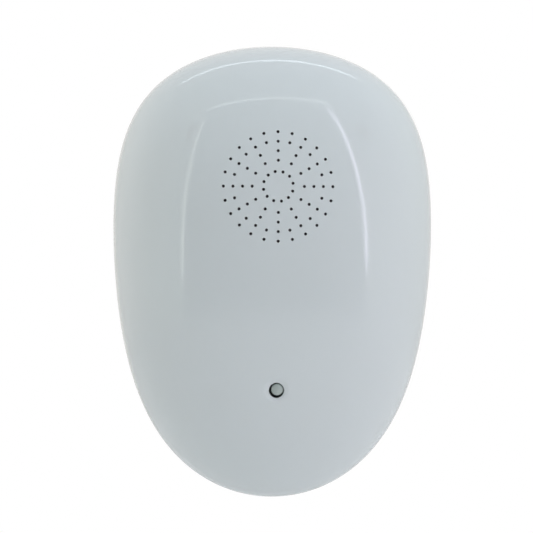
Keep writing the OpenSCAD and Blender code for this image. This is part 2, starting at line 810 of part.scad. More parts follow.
module transformer_bobbin() color("ivory") upright()
    behind_board(transformer_at) {
        difference() {
            union() {
                for (side = [-1, 1])
                    translate([0, side * (window_y - 0.35), core_z]) rotate([90, 0, 0])
                        cylinder(r = bobbin_cheek[0], h = bobbin_cheek[1], center = true);
                translate([0, 0, core_z]) rotate([90, 0, 0])
                    cylinder(r = bobbin_r, h = 2 * window_y - 0.2, center = true);
                for (side = [-1, 1])
                    translate([-bobbin_foot[0] / 2, side * 5.4 - bobbin_foot[1] / 2, 0]) cube(bobbin_foot);
                for (side = [-1, 1])
                    translate([-1.4, side > 0 ? 3.5 : -5.5, 0.5]) cube([2.8, 2, 2]);
            }
            translate([0, 0, core_z]) cube([leg_w, 40, core_t], center = true);
        }
        for (x = bobbin_pin_x)
            for (side = [-1, 1])
                translate([x - bobbin_pin_w / 2, side * bobbin_pin_y - bobbin_pin_w / 2, -board_t])
                    cube([bobbin_pin_w, bobbin_pin_w, board_t + 0.2]);
    }

module transformer_winding() color("sandybrown") upright()
    behind_board(transformer_at)
        translate([0, 0, core_z])
            rotate([90, 0, 0])
                difference() {
                    cylinder(r = winding_r, h = 2 * window_y - 1.4, center = true);
                    cylinder(r = bobbin_r, h = 2 * core_h, center = true);
                }

// ---- Mains wires ----

module live_wire() color("saddlebrown") upright() tube(curve_through(mains_route(1, live_pad)), wire_r);
module neutral_wire() color("royalblue") upright() tube(curve_through(mains_route(-1, neutral_pad)), wire_r);

// Bare ends of all four wires: through the board, through the eyes of the pins'
// solder tabs and against the speaker's terminals
module wire_ends() color("silver") upright() {
    at_each(concat([live_pad, neutral_pad], speaker_pads), board_z - 0.2)
        cylinder(r = lead_r, h = board_t + 0.2, $fn = 16);
    for (side = [-1, 1]) {
        translate([side * pin_gap / 2, -1.2, tail_z])
            rotate([-90, 0, 0]) cylinder(r = lead_r, h = 2.2, $fn = 16);
        translate([side * terminal_x, terminal_y - lead_r, speaker_z - 0.9])
            cylinder(r = lead_r, h = 0.8, $fn = 16);
    }
}

// ---- Nodes ----

front_cover();
rear_cover();
rating_label();
plug_insert();
live_pin();
neutral_pin();
live_pin_sleeve();
neutral_pin_sleeve();
insert_screws();
housing_screws();
grille_cloth();
speaker_gasket();
speaker_frame();
speaker_cone();
piezo_plate();
piezo_ceramic();
speaker_terminals();
speaker_retainer();
retainer_screws();
speaker_wire_red();
speaker_wire_black();
circuit_board();
board_screws();
solder_joints();
led_lens();
led_leads();
led_spacer();
suppression_capacitor();
reservoir_capacitor();
supply_capacitor();
disc_capacitor();
fuse_resistor();
resistors();
rectifier_diodes();
component_leads();
controller_chip();
controller_legs();
driver_transistors();
transistor_legs();
transformer_core();
transformer_bobbin();
transformer_winding();
live_wire();
neutral_wire();
wire_ends();
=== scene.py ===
import math

import bpy
import numpy as np
from mathutils import Matrix, Quaternion, Vector
from mathutils.geometry import delaunay_2d_cdt


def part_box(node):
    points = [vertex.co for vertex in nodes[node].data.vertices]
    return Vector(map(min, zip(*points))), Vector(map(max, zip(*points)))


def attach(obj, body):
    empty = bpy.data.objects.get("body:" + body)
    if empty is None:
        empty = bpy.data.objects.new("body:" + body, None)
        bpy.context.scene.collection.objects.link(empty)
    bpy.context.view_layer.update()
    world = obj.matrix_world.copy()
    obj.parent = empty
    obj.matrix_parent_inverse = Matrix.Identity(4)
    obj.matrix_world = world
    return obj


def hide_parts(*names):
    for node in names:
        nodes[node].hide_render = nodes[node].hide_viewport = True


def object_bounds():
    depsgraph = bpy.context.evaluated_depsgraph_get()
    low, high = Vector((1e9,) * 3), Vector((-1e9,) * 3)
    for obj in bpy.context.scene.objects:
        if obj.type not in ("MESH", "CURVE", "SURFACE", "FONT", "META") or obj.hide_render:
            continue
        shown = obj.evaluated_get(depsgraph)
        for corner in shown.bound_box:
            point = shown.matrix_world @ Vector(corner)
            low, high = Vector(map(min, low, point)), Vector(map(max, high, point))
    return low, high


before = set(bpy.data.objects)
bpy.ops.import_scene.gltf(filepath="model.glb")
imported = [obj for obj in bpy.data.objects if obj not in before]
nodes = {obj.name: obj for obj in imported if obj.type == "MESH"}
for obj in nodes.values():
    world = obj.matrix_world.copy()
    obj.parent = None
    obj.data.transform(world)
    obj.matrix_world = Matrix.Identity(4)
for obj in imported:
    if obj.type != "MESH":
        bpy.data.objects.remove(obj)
cad_low, cad_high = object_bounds()
MM = 0.001

# ---------- the housing's size
front_low, front_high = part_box("front_cover")
_, rear_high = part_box("rear_cover")
label_low, label_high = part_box("rating_label")
insert_low, insert_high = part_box("plug_insert")
lens_low, lens_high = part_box("led_lens")
cloth_low, cloth_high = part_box("grille_cloth")

HALF_W = (front_high.x - front_low.x) / 2 / MM
HALF_H = (front_high.z - front_low.z) / 2 / MM
MID_Z = (front_high.z + front_low.z) / 2 / MM
FRONT_DEPTH = (front_high.y - front_low.y) / MM
PARTING_Y = front_high.y / MM
BACK_Y = rear_high.y / MM
REAR_DEPTH = BACK_Y - PARTING_Y
WALL = 2.2

# The egg's outline, as in the CAD source. Its three terms follow a fit to the photo's silhouette
TAPER = 0.1025
FULLNESS = 0.2625
CROWN = 0.0775
NOSE_RISE = 12
NOSE_Z = MID_Z + NOSE_RISE
FRONT_POWER = 2.2
BACK_FLAT = 0.7
SHADOW_GAP = 0.5
SHADOW_INSET = 0.35
RABBET_INSET = 1.1
RABBET_H = 2.5
TONGUE_INSET = 1.2
TONGUE_H = 2.3
EDGE = 0.15

# The grille and the indicator
GRILLE_Z = (cloth_low.z + cloth_high.z) / 2 / MM
SOUND_HOLE_R = 0.375
GRILLE_RINGS = [(13.75, 24, 0), (11.35, 24, 0), (8.95, 12, 0), (6.55, 12, 0), (3.78, 12, -12)]
LENS_X = (lens_low.x + lens_high.x) / 2 / MM
LENS_Z = (lens_low.z + lens_high.z) / 2 / MM
LENS_ABOVE_HOLE = 0.24      # the lens sits a little off its hole's middle
LED_Z = LENS_Z - LENS_ABOVE_HOLE
LED_HOLE_R = 1.9
LED_DIMPLE_W = 1.5
LED_DIMPLE_D = 0.4
LED_TURNS = 64
LED_LIP = 0.12
DIMPLE_RINGS = 12
SOUND_TURNS = 20
SOUND_LIP = 0.06
SOUND_GUARD = 0.22
HOLE_TILT = 80              # degrees that the normals lean in at a hole's edge
HALF_TILT = 45              # and halfway round that edge

# The back
WELLS = [(-19.5, 25.5), (19.5, 25.5), (-13, -37.5), (13, -37.5)]
WELL_R = 3.2
WELL_WALL = 1.2
WELL_DEPTH = 10
SCREW_HOLE_R = 1.7
PIN_X = 9.3

AROUND = 240            # vertices round the housing


def width_share(c):
    return 1 + TAPER * c + FULLNESS * c * c + CROWN * c ** 3


PEAK = max(math.sin(math.radians(t)) * width_share(math.cos(math.radians(t))) for t in range(181))


def outline(inset, t):
    """Points of the housing's outline in mm, clockwise from the crown as seen from the front."""
    c, s = np.cos(t), np.sin(t)
    x = (HALF_W - inset) * s * width_share(c) / PEAK
    return np.stack([x, MID_Z + (HALF_H - inset) * c], 1)


def outline_normals(inset, t):
    step = 1e-4
    d = outline(inset, t + step) - outline(inset, t - step)
    n = np.stack([-d[:, 1], d[:, 0]], 1)
    return n / np.linalg.norm(n, axis=1, keepdims=True)


def lifted(xz, y):
    """Flat (x, z) points or directions, with the given Y put between."""
    return np.stack([xz[:, 0], np.broadcast_to(y, len(xz)), xz[:, 1]], 1)


class Dome:
    """A surface that rises from the housing's outline. Each ring is a copy of the outline
    shrunk towards the nose, so a point is found from its direction and its share of the way out."""

    def __init__(self, inset, depth, power, flat, base_y, side):
        self.depth, self.power, self.flat = depth, power, flat
        self.base_y, self.side, self.inset = base_y, side, inset
        t = np.linspace(0, 2 * math.pi, 4097)
        p = outline(inset, t) - [0, NOSE_Z]
        n = outline_normals(inset, t)
        angle = np.unwrap(np.arctan2(p[:, 0], p[:, 1]))
        reach = np.hypot(p[:, 0], p[:, 1])
        pull = n / np.sum(n * p, 1)[:, None]
        self.table = (angle, reach, pull[:, 0], pull[:, 1])

    def look_up(self, xz):
        d = xz - [0, NOSE_Z]
        angle, reach, pull_x, pull_z = self.table
        a = np.arctan2(d[:, 0], d[:, 1]) % (2 * math.pi)
        share = np.hypot(d[:, 0], d[:, 1]) / np.interp(a, angle, reach)
        pull = np.stack([np.interp(a, angle, pull_x), np.interp(a, angle, pull_z)], 1)
        return np.clip(share, 0, 1), pull

    def at(self, xz):
        """Points in mm and unit normals above the flat positions xz."""
        share, pull = self.look_up(xz)
        p, f, depth = self.power, self.flat, self.depth
        out = np.clip((share - f) / (1 - f), 0, 1)
        rise = depth * np.maximum(1 - out ** p, 0) ** (1 / p)
        across = (p * out ** (p - 1) / (1 - f))[:, None] * pull
        up = p * (rise / depth) ** (p - 1) / depth
        n = lifted(across, self.side * up)
        n /= np.linalg.norm(n, axis=1, keepdims=True)
        return lifted(xz, self.base_y + self.side * rise), n

    def ring(self, t, share):
        nose = np.array([0, NOSE_Z])
        return nose + share * (outline(self.inset, t) - nose)

    def share_at(self, rise):
        p = self.power
        return self.flat + (1 - self.flat) * (1 - (rise / self.depth) ** p) ** (1 / p)


# ---------- mesh building
class Shell:
    """Collects vertices with exact normals, in mm, and turns them into one object in metres."""

    def __init__(self):
        self.v, self.n, self.f = [], [], []
        self.count = 0

    def add(self, points, normals):
        points = np.asarray(points, float)
        first = self.count
        self.v.append(points)
        self.n.append(np.asarray(normals, float))
        self.count += len(points)
        return np.arange(first, self.count)

    def strip(self, a, b):
        a2, b2 = np.roll(a, -1), np.roll(b, -1)
        self.f += [tuple(int(k) for k in q) for q in np.stack([a, a2, b2, b], 1)]

    def strips(self, rings):
        for a, b in zip(rings[:-1], rings[1:]):
            self.strip(a, b)

    def cap(self, ring, point, normal):
        tip = int(self.add([point], [normal])[0])
        after = np.roll(ring, -1)
        self.f += [(int(a), int(b), tip) for a, b in zip(ring, after)]

    def build(self, name, material, body="root"):
        v = np.concatenate(self.v)
        n = np.concatenate(self.n)
        n = n / np.maximum(np.linalg.norm(n, axis=1, keepdims=True), 1e-9)
        faces = []
        for f in self.f:
            p = v[list(f)]
            facing = np.zeros(3)
            for i in range(len(f)):
                facing += np.cross(p[i] - p[0], p[(i + 1) % len(f)] - p[0])
            faces.append(f if facing @ n[list(f)].sum(0) >= 0 else f[::-1])
        mesh = bpy.data.meshes.new(name)
        mesh.from_pydata((v * MM).tolist(), [], faces)
        mesh.validate()
        mesh.shade_smooth()
        mesh.normals_split_custom_set_from_vertices(n.tolist())
        obj = bpy.data.objects.new(name, mesh)
        bpy.context.scene.collection.objects.link(obj)
        mesh.materials.append(material)
        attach(obj, body)
        return obj


def rounded_path(corners, radius, steps=4):
    """Rounds the inner corners of a path of (across, along) points. Returns points with the
    normals of the side that the path keeps on its right."""
    c = np.asarray(corners, float)
    out = []
    last = len(c) - 1
    for i in range(last + 1):
        if i in (0, last):
            d = c[1] - c[0] if i == 0 else c[last] - c[last - 1]
            d /= np.linalg.norm(d)
            out.append((c[i], np.array([d[1], -d[0]])))
            continue
        a, b = c[i - 1] - c[i], c[i + 1] - c[i]
        la, lb = np.linalg.norm(a), np.linalg.norm(b)
        a, b = a / la, b / lb
        half = math.acos(max(-1, min(1, float(a @ b)))) / 2
        reach = min(radius / math.tan(half), 0.45 * la, 0.45 * lb)
        na, nb = np.array([-a[1], a[0]]), np.array([b[1], -b[0]])
        for k in range(steps + 1):
            u = k / steps
            p = c[i] + reach * ((1 - u) ** 2 * a + u ** 2 * b)
            n = (1 - u) * na + u * nb
            out.append((p, n / np.linalg.norm(n)))
    return out


def lathe(shell, path, x, z, turns=64, y0=0.0, way=1):
    """Turns a path of ((radius, height), normal) about an axis along Y through (x, z)."""
    rings = []
    tips = {}
    for (r, h), (nr, nh) in path:
        y = y0 + way * h
        if r < 1e-6:
            tips[len(rings)] = ([x, y, z], [0, way * nh, 0])
            rings.append(None)
            continue
        rings.append(shell.add(lifted(circle(x, z, r, turns), y),
                               lifted(circle(0, 0, nr, turns), way * nh)))
    for i in range(len(rings) - 1):
        if rings[i] is None and rings[i + 1] is not None:
            shell.cap(rings[i + 1], *tips[i])
        elif rings[i + 1] is None and rings[i] is not None:
            shell.cap(rings[i], *tips[i + 1])
        elif rings[i] is not None:
            shell.strip(rings[i], rings[i + 1])
    return rings


def circle(x, z, r, turns):
    a = np.linspace(0, 2 * math.pi, turns, endpoint=False)
    return np.stack([x + r * np.sin(a), z + r * np.cos(a)], 1)


BULGE = 1e-6


def patch(shell, rim, spacing, holes, surface):
    """Fills the inside of a convex rim with triangles that leave the holes open.
    rim: (indices, flat points); holes: lists of closed loops from the hole's edge outwards, each
    (flat points, function giving points and normals); surface gives the rest.
    Returns the indices of each hole's own edge."""
    rim_index, rim_xz = rim
    flat = [rim_xz]
    index = [rim_index]
    edges = []
    for loops in holes:
        found = []
        for xz, make in loops:
            found.append(shell.add(*make(xz)))
            flat.append(xz)
            index.append(found[-1])
        edges.append(found[0])
    guards = [(loops[-1][0].mean(0), np.ptp(loops[-1][0], axis=0) / 2) for loops in holes]
    low, high = rim_xz.min(0), rim_xz.max(0)
    rows = int((high[1] - low[1]) / (spacing * 0.866)) + 1
    grid = []
    for j in range(rows):
        z = low[1] + j * spacing * 0.866
        xs = np.arange(-50, 51) * spacing + (spacing / 2 if j % 2 else 0)
        grid.append(np.stack([xs, np.full(len(xs), z)], 1))
    grid = np.concatenate(grid)
    centre = rim_xz.mean(0)
    ra = np.arctan2(*(rim_xz - centre).T) % (2 * math.pi)
    order = np.argsort(ra)
    rr = np.hypot(*(rim_xz - centre).T)[order]
    ra = ra[order]
    ga = np.arctan2(*(grid - centre).T) % (2 * math.pi)
    keep = np.hypot(*(grid - centre).T) < np.interp(ga, ra, rr, period=2 * math.pi) - 0.6 * spacing
    for middle, reach in guards:
        d = np.abs(grid - middle)
        if abs(reach[0] - reach[1]) < 0.01:
            keep &= np.hypot(*d.T) > reach[0] + 0.4 * spacing
        else:
            keep &= (d[:, 0] > reach[0] + 0.4 * spacing) | (d[:, 1] > reach[1] + 0.4 * spacing)
    grid = grid[keep]
    flat.append(grid)
    index.append(shell.add(*surface(grid)))
    flat = np.concatenate(flat)
    index = np.concatenate(index)
    # straight sides bulge a hair here, so that no triangle lies flat along one
    bulged = (flat - centre) * (1 - BULGE * np.sum((flat - centre) ** 2, axis=1))[:, None]
    tris, from_in = delaunay_2d_cdt([Vector(p) for p in bulged], [], [], 0, 1e-6, True)[2:4]
    owner = [o[0] for o in from_in] if from_in and from_in[0] else list(range(len(flat)))
    in_edge = {}
    for k, e in enumerate(edges):
        for i in e:
            in_edge[int(i)] = k
    for t in tris:
        own = [int(index[owner[i]]) for i in t]
        held = {in_edge.get(i, -1) for i in own}
        if len(held) == 1 and held != {-1}:
            continue
        shell.f.append(tuple(own))
    return edges


def sunk(surface, xz, inward, drop, tilt):
    """The surface sunk by drop, with its normals tilted inward by tilt degrees."""
    pts, n = surface(xz)
    pts = pts.copy()
    side = 1 if n[:, 1].mean() > 0 else -1
    pts[:, 1] -= side * drop
    t = math.radians(tilt)
    return pts, math.cos(t) * n + math.sin(t) * lifted(inward, 0)


def bent(surface, x, z, drop, tilt):
    """The same towards the axis of a round hole."""
    def make(xz):
        d = np.array([x, z]) - xz
        d /= np.maximum(np.linalg.norm(d, axis=1, keepdims=True), 1e-9)
        return sunk(surface, xz, d, drop, tilt)
    return make


def hole_loops(surface, x, z, r, turns, lip, guard):
    """Loops round a round hole, from its edge outwards."""
    return [(circle(x, z, r, turns), bent(surface, x, z, lip, HOLE_TILT)),
            (circle(x, z, r + 0.3 * lip, turns), bent(surface, x, z, 0.3 * lip, HALF_TILT)),
            (circle(x, z, r + lip, turns), bent(surface, x, z, 0, 0)),
            (circle(x, z, r + guard, turns), bent(surface, x, z, 0, 0))]


T = np.linspace(0, 2 * math.pi, AROUND, endpoint=False)


def dome_strip(shell, dome, shares, surface):
    """Rings of a dome at the given shares, joined, and their flat positions."""
    rings = []
    flats = []
    for s in shares:
        xz = dome.ring(T, s)
        rings.append(shell.add(*surface(xz)))
        flats.append(xz)
    shell.strips(rings)
    return rings, flats


def facing_in(dome):
    """The same surface seen from the cavity."""
    def make(xz):
        pts, n = dome.at(xz)
        return pts, -n
    return make


def rim_rings(shell, path, base_y, side):
    """Rings of the housing's outline along a path of ((inset, rise), (across, along)) points."""
    rings = []
    for (inset, rise), (across, along) in path:
        xz = outline(inset, T)
        n = outline_normals(inset, T)
        rings.append(shell.add(lifted(xz, base_y + side * rise), lifted(-across * n, side * along)))
    shell.strips(rings)
    return rings


def even_shares(dome, inner, rise, steps):
    """Shares from the inner patch's rim out to the given rise, evenly spread along the curve."""
    p, f = dome.power, dome.flat
    def angle(share):
        return math.acos(((share - f) / (1 - f)) ** (p / 2))
    a = np.linspace(angle(inner), angle(dome.share_at(rise)), steps)
    return f + (1 - f) * np.cos(a) ** (2 / p)


def tube(shell, x, z, y_low, y_high, r, bore, edge=0.15, turns=40):
    """A boss with a hole down its middle, closed all round."""
    h = y_high - y_low
    path = rounded_path([(r, 0.5 * h), (r, h), (bore, h), (bore, 0), (r, 0), (r, 0.5 * h)], edge, 2)
    lathe(shell, path, x, z, turns, y_low)


# ---------- materials
def node_tree(name):
    m = bpy.data.materials.new(name)
    m.use_nodes = True
    t = m.node_tree
    t.nodes.clear()
    out = t.nodes.new("ShaderNodeOutputMaterial")
    bsdf = t.nodes.new("ShaderNodeBsdfPrincipled")
    t.links.new(bsdf.outputs[0], out.inputs[0])
    return m, t, bsdf


def add(t, kind, **values):
    n = t.nodes.new(kind)
    for k, v in values.items():
        if hasattr(n, k) and k not in n.inputs:
            setattr(n, k, v)
        else:
            n.inputs[k].default_value = v
    return n


def noise(t, coords, scale, detail=3.0, rough=0.55):
    n = add(t, "ShaderNodeTexNoise", Scale=scale, Detail=detail, Roughness=rough)
    t.links.new(coords, n.inputs["Vector"])
    return n.outputs["Fac"]


def spread(t, value, low, high, in_low=0.3, in_high=0.7):
    n = add(t, "ShaderNodeMapRange",
            **{"From Min": in_low, "From Max": in_high, "To Min": low, "To Max": high})
    t.links.new(value, n.inputs["Value"])
    return n.outputs["Result"]


def blend(t, fac, under, over):
    """Mixes a colour, plain or from a node, with a plain colour."""
    n = add(t, "ShaderNodeMix", data_type="RGBA")
    if isinstance(under, tuple):
        n.inputs[6].default_value = (*under, 1)
    else:
        t.links.new(under, n.inputs[6])
    n.inputs[7].default_value = (*over, 1)
    t.links.new(fac, n.inputs[0])
    return n.outputs[2]


def bump(t, height, strength, distance, under=None):
    n = add(t, "ShaderNodeBump", Strength=strength, Distance=distance)
    t.links.new(height, n.inputs["Height"])
    if under is not None:
        t.links.new(under, n.inputs["Normal"])
    return n.outputs["Normal"]


def coordinates(t):
    return t.nodes.new("ShaderNodeTexCoord").outputs["Object"]


def edges(t, low, high):
    g = t.nodes.new("ShaderNodeNewGeometry")
    return spread(t, g.outputs["Pointiness"], 0.0, 1.0, low, high)


def moulded(name, colour, rough=0.2, variation=0.02, bump_size=0.0012, bump_depth=0.00001,
            grain=0.0, coat=0.0, sheen_edge=0.03, specular=0.5, subsurface=0.0):
    """Moulded plastic: faint flow marks in colour and gloss, orange peel, and edges lightened as a
    painted sheen.
    """
    m, t, b = node_tree(name)
    co = coordinates(t)
    dark = tuple(c * (1 - variation) for c in colour)
    light = tuple(min(1.0, c * (1 + variation)) for c in colour)
    base = blend(t, spread(t, noise(t, co, 45.0, 4.0), 0, 1), dark, light)
    # convex edges lightened by pointiness: a painted sheen
    painted_edge_sheen = tuple(min(1.0, c + sheen_edge) for c in colour)
    base = blend(t, edges(t, 0.52, 0.62), base, painted_edge_sheen)
    t.links.new(base, b.inputs["Base Color"])
    t.links.new(spread(t, noise(t, co, 120.0, 5.0), rough * 0.85, rough * 1.2), b.inputs["Roughness"])
    normal = bump(t, noise(t, co, 1 / bump_size, 2.0), 0.35, bump_depth)
    if grain > 0:
        normal = bump(t, noise(t, co, 1 / grain, 3.0), 0.5, grain * 0.08, normal)
    t.links.new(normal, b.inputs["Normal"])
    for key, value in {"Specular IOR Level": specular, "Coat Weight": coat, "Coat Roughness": 0.08,
                       "Subsurface Weight": subsurface, "Subsurface Radius": (0.002, 0.002, 0.002),
                       "Subsurface Scale": 0.5}.items():
        b.inputs[key].default_value = value
    return m


def metal(name, colour, rough=0.25, brushed=0.0, tarnish=None, bump_size=0.0005):
    """Metal with fine tool marks round the Y axis, smudges and slightly polished edges."""
    m, t, b = node_tree(name)
    co = coordinates(t)
    smudge = spread(t, noise(t, co, 300.0, 5.0), 0, 1)
    base = blend(t, smudge, colour, tarnish or tuple(c * 0.86 for c in colour))
    base = blend(t, edges(t, 0.53, 0.65), base, tuple(min(1.0, c * 1.12) for c in colour))
    t.links.new(base, b.inputs["Base Color"])
    b.inputs["Metallic"].default_value = 1.0
    t.links.new(spread(t, noise(t, co, 500.0, 4.0), rough * 0.75, rough * 1.35), b.inputs["Roughness"])
    height = noise(t, co, 1 / bump_size, 3.0)
    normal = bump(t, height, 0.25, 0.00001)
    if brushed > 0:
        wave = add(t, "ShaderNodeTexWave", Scale=brushed, Distortion=0.4, Detail=2.0)
        wave.bands_direction = "Y"
        t.links.new(co, wave.inputs["Vector"])
        normal = bump(t, wave.outputs["Fac"], 0.15, 0.00001, normal)
    t.links.new(normal, b.inputs["Normal"])
    return m


def woven(name, colour, pitch):
    """Plain weave of fine threads, with painted shade in the hollows between them."""
    m, t, b = node_tree(name)
    co = coordinates(t)
    heights = []
    for direction in ("X", "Z"):
        w = add(t, "ShaderNodeTexWave", Scale=1 / pitch / 3.1416, Distortion=0.3, Detail=1.0)
        w.bands_direction = direction
        t.links.new(co, w.inputs["Vector"])
        heights.append(w.outputs["Fac"])
    over = add(t, "ShaderNodeMath", operation="MAXIMUM")
    t.links.new(heights[0], over.inputs[0])
    t.links.new(heights[1], over.inputs[1])
    # threads at full colour, the low parts between them darker: painted shade between the threads
    base = blend(t, over.outputs[0], tuple(c * 0.4 for c in colour), colour)
    t.links.new(base, b.inputs["Base Color"])
    t.links.new(spread(t, noise(t, co, 900.0), 0.75, 0.95), b.inputs["Roughness"])
    t.links.new(bump(t, over.outputs[0], 0.6, pitch * 0.3), b.inputs["Normal"])
    b.inputs["Sheen Weight"].default_value = 0.15
    return m


def laminate(name, colour, fibre):
    """Phenolic board: paper fibres, a slight mottling and a satin face."""
    m, t, b = node_tree(name)
    co = coordinates(t)
    stretch = add(t, "ShaderNodeMapping")
    stretch.inputs["Scale"].default_value = (1.0, 1.0, 0.15)
    t.links.new(co, stretch.inputs["Vector"])
    fibres = noise(t, stretch.outputs[0], 2500.0, 6.0)
    base = blend(t, spread(t, fibres, 0, 1), colour, fibre)
    base = blend(t, spread(t, noise(t, co, 120.0), 0, 0.25), base, tuple(c * 0.7 for c in colour))
    t.links.new(base, b.inputs["Base Color"])
    t.links.new(spread(t, noise(t, co, 700.0), 0.35, 0.5), b.inputs["Roughness"])
    t.links.new(bump(t, fibres, 0.2, 0.00002), b.inputs["Normal"])
    return m


def glazed(name, colour, speck, rough=0.25):
    """Lacquered or dipped ceramic, a little uneven."""
    m, t, b = node_tree(name)
    co = coordinates(t)
    base = blend(t, spread(t, noise(t, co, 800.0, 4.0), 0, 1), colour, speck)
    t.links.new(base, b.inputs["Base Color"])
    t.links.new(spread(t, noise(t, co, 400.0), rough * 0.8, rough * 1.3), b.inputs["Roughness"])
    t.links.new(bump(t, noise(t, co, 600.0, 3.0), 0.4, 0.00004), b.inputs["Normal"])
    b.inputs["Coat Weight"].default_value = 0.3
    b.inputs["Coat Roughness"].default_value = 0.15
    return m


HOUSING = (0.745, 0.80, 0.82)
front_white = moulded("front_plastic", HOUSING, rough=0.08, variation=0.006, bump_size=0.004,
                      bump_depth=0.000006, coat=0.0, specular=0.5, sheen_edge=0.01, subsurface=0.3)
rear_white = moulded("rear_plastic", tuple(c * 0.99 for c in HOUSING), rough=0.22, variation=0.008,
                     bump_size=0.004, bump_depth=0.000006, grain=0.0004, sheen_edge=0.01)
insert_white = moulded("insert_plastic", (0.72, 0.765, 0.78), rough=0.32, variation=0.01,
                       bump_size=0.002, bump_depth=0.000008, grain=0.00035, sheen_edge=0.02)
label_film = moulded("label_film", (0.60, 0.61, 0.615), rough=0.38, variation=0.02,
                     bump_size=0.001, grain=0.0002, sheen_edge=0.05)
sleeve_black = moulded("sleeve_plastic", (0.012, 0.012, 0.013), rough=0.33, variation=0.15,
                       bump_size=0.0008, grain=0.0002, sheen_edge=0.01)
nickel = metal("nickel_plate", (0.66, 0.64, 0.60), rough=0.17, brushed=900.0, tarnish=(0.56, 0.53, 0.48))
zinc = metal("zinc_plate", (0.55, 0.56, 0.57), rough=0.34, tarnish=(0.45, 0.45, 0.42))
tinned = metal("tinned_wire", (0.62, 0.63, 0.64), rough=0.3, tarnish=(0.48, 0.48, 0.46))
solder = metal("solder_metal", (0.58, 0.59, 0.60), rough=0.24, tarnish=(0.42, 0.42, 0.41),
               bump_size=0.0002)
brass = metal("rolled_brass", (0.72, 0.52, 0.22), rough=0.28, brushed=300.0, tarnish=(0.52, 0.36, 0.15))
cone_metal = metal("cone_aluminium", (0.72, 0.73, 0.74), rough=0.35, tarnish=(0.6, 0.6, 0.61))
cloth = woven("grille_weave", (0.24, 0.20, 0.25), 0.00022)
foam = moulded("gasket_foam", (0.02, 0.02, 0.022), rough=0.85, variation=0.3, bump_size=0.0003,
               bump_depth=0.0001)
shell_black = moulded("speaker_plastic", (0.018, 0.019, 0.021), rough=0.45, variation=0.15, grain=0.0003)
nylon = moulded("nylon_natural", (0.62, 0.60, 0.52), rough=0.42, variation=0.04, subsurface=0.1)
nylon_white = moulded("nylon_white", (0.70, 0.70, 0.67), rough=0.4, variation=0.03, subsurface=0.1)
board = laminate("board_laminate", (0.36, 0.20, 0.075), (0.46, 0.28, 0.12))
box_yellow = moulded("capacitor_box", (0.70, 0.42, 0.03), rough=0.38, variation=0.06, grain=0.0004)
sleeve_dark = moulded("capacitor_sleeve", (0.012, 0.014, 0.022), rough=0.22, variation=0.2)
sleeve_green = moulded("capacitor_sleeve_green", (0.01, 0.055, 0.03), rough=0.24, variation=0.2)
epoxy_black = moulded("chip_epoxy", (0.014, 0.014, 0.015), rough=0.5, variation=0.2, grain=0.0002)
diode_black = moulded("diode_epoxy", (0.016, 0.016, 0.016), rough=0.4, variation=0.2, grain=0.0002)
tape = moulded("winding_tape", (0.70, 0.47, 0.06), rough=0.2, variation=0.08, coat=0.4)
pvc_red = moulded("pvc_red", (0.42, 0.012, 0.012), rough=0.34, variation=0.08)
pvc_black = moulded("pvc_black", (0.012, 0.012, 0.012), rough=0.36, variation=0.15)
pvc_brown = moulded("pvc_brown", (0.085, 0.03, 0.012), rough=0.34, variation=0.1)
pvc_blue = moulded("pvc_blue", (0.012, 0.065, 0.27), rough=0.34, variation=0.08)
ferrite = glazed("ferrite", (0.022, 0.022, 0.024), (0.04, 0.04, 0.042), 0.55)
piezo_white = glazed("silvered_ceramic", (0.62, 0.61, 0.57), (0.5, 0.49, 0.46), 0.4)
dipped_orange = glazed("dipped_ceramic", (0.42, 0.12, 0.02), (0.32, 0.085, 0.015))
lacquer_green = glazed("lacquer_green", (0.05, 0.14, 0.09), (0.035, 0.1, 0.065), 0.35)
lacquer_tan = glazed("lacquer_tan", (0.42, 0.27, 0.12), (0.35, 0.21, 0.09), 0.35)

led_epoxy = moulded("indicator_epoxy", (0.47, 0.53, 0.51), rough=0.22, variation=0.03,
                    bump_size=0.0008, bump_depth=0.00001, specular=0.5, subsurface=0.9)

for name, material in {
    "grille_cloth": cloth, "speaker_gasket": foam, "speaker_frame": shell_black,
    "speaker_cone": cone_metal, "piezo_plate": brass, "piezo_ceramic": piezo_white,
    "speaker_terminals": tinned, "speaker_retainer": nylon, "retainer_screws": zinc,
    "speaker_wire_red": pvc_red, "speaker_wire_black": pvc_black, "circuit_board": board,
    "board_screws": zinc, "solder_joints": solder, "led_leads": tinned, "led_spacer": nylon_white,
    "suppression_capacitor": box_yellow, "reservoir_capacitor": sleeve_dark,
    "supply_capacitor": sleeve_green, "disc_capacitor": dipped_orange,
    "fuse_resistor": lacquer_green, "resistors": lacquer_tan, "rectifier_diodes": diode_black,
    "component_leads": tinned, "controller_chip": epoxy_black, "controller_legs": tinned,
    "driver_transistors": epoxy_black, "transistor_legs": tinned, "transformer_core": ferrite,
    "transformer_bobbin": nylon, "transformer_winding": tape, "live_wire": pvc_brown,
    "neutral_wire": pvc_blue, "wire_ends": tinned, "insert_screws": zinc, "housing_screws": zinc,
    "rating_label": label_film,
}.items():
    for s in nodes[name].material_slots:
        s.material = material

# ---------- front cover
outer = Dome(0, FRONT_DEPTH, FRONT_POWER, 0, PARTING_Y, -1)
inner = Dome(WALL, FRONT_DEPTH - WALL, FRONT_POWER, 0, PARTING_Y, -1)


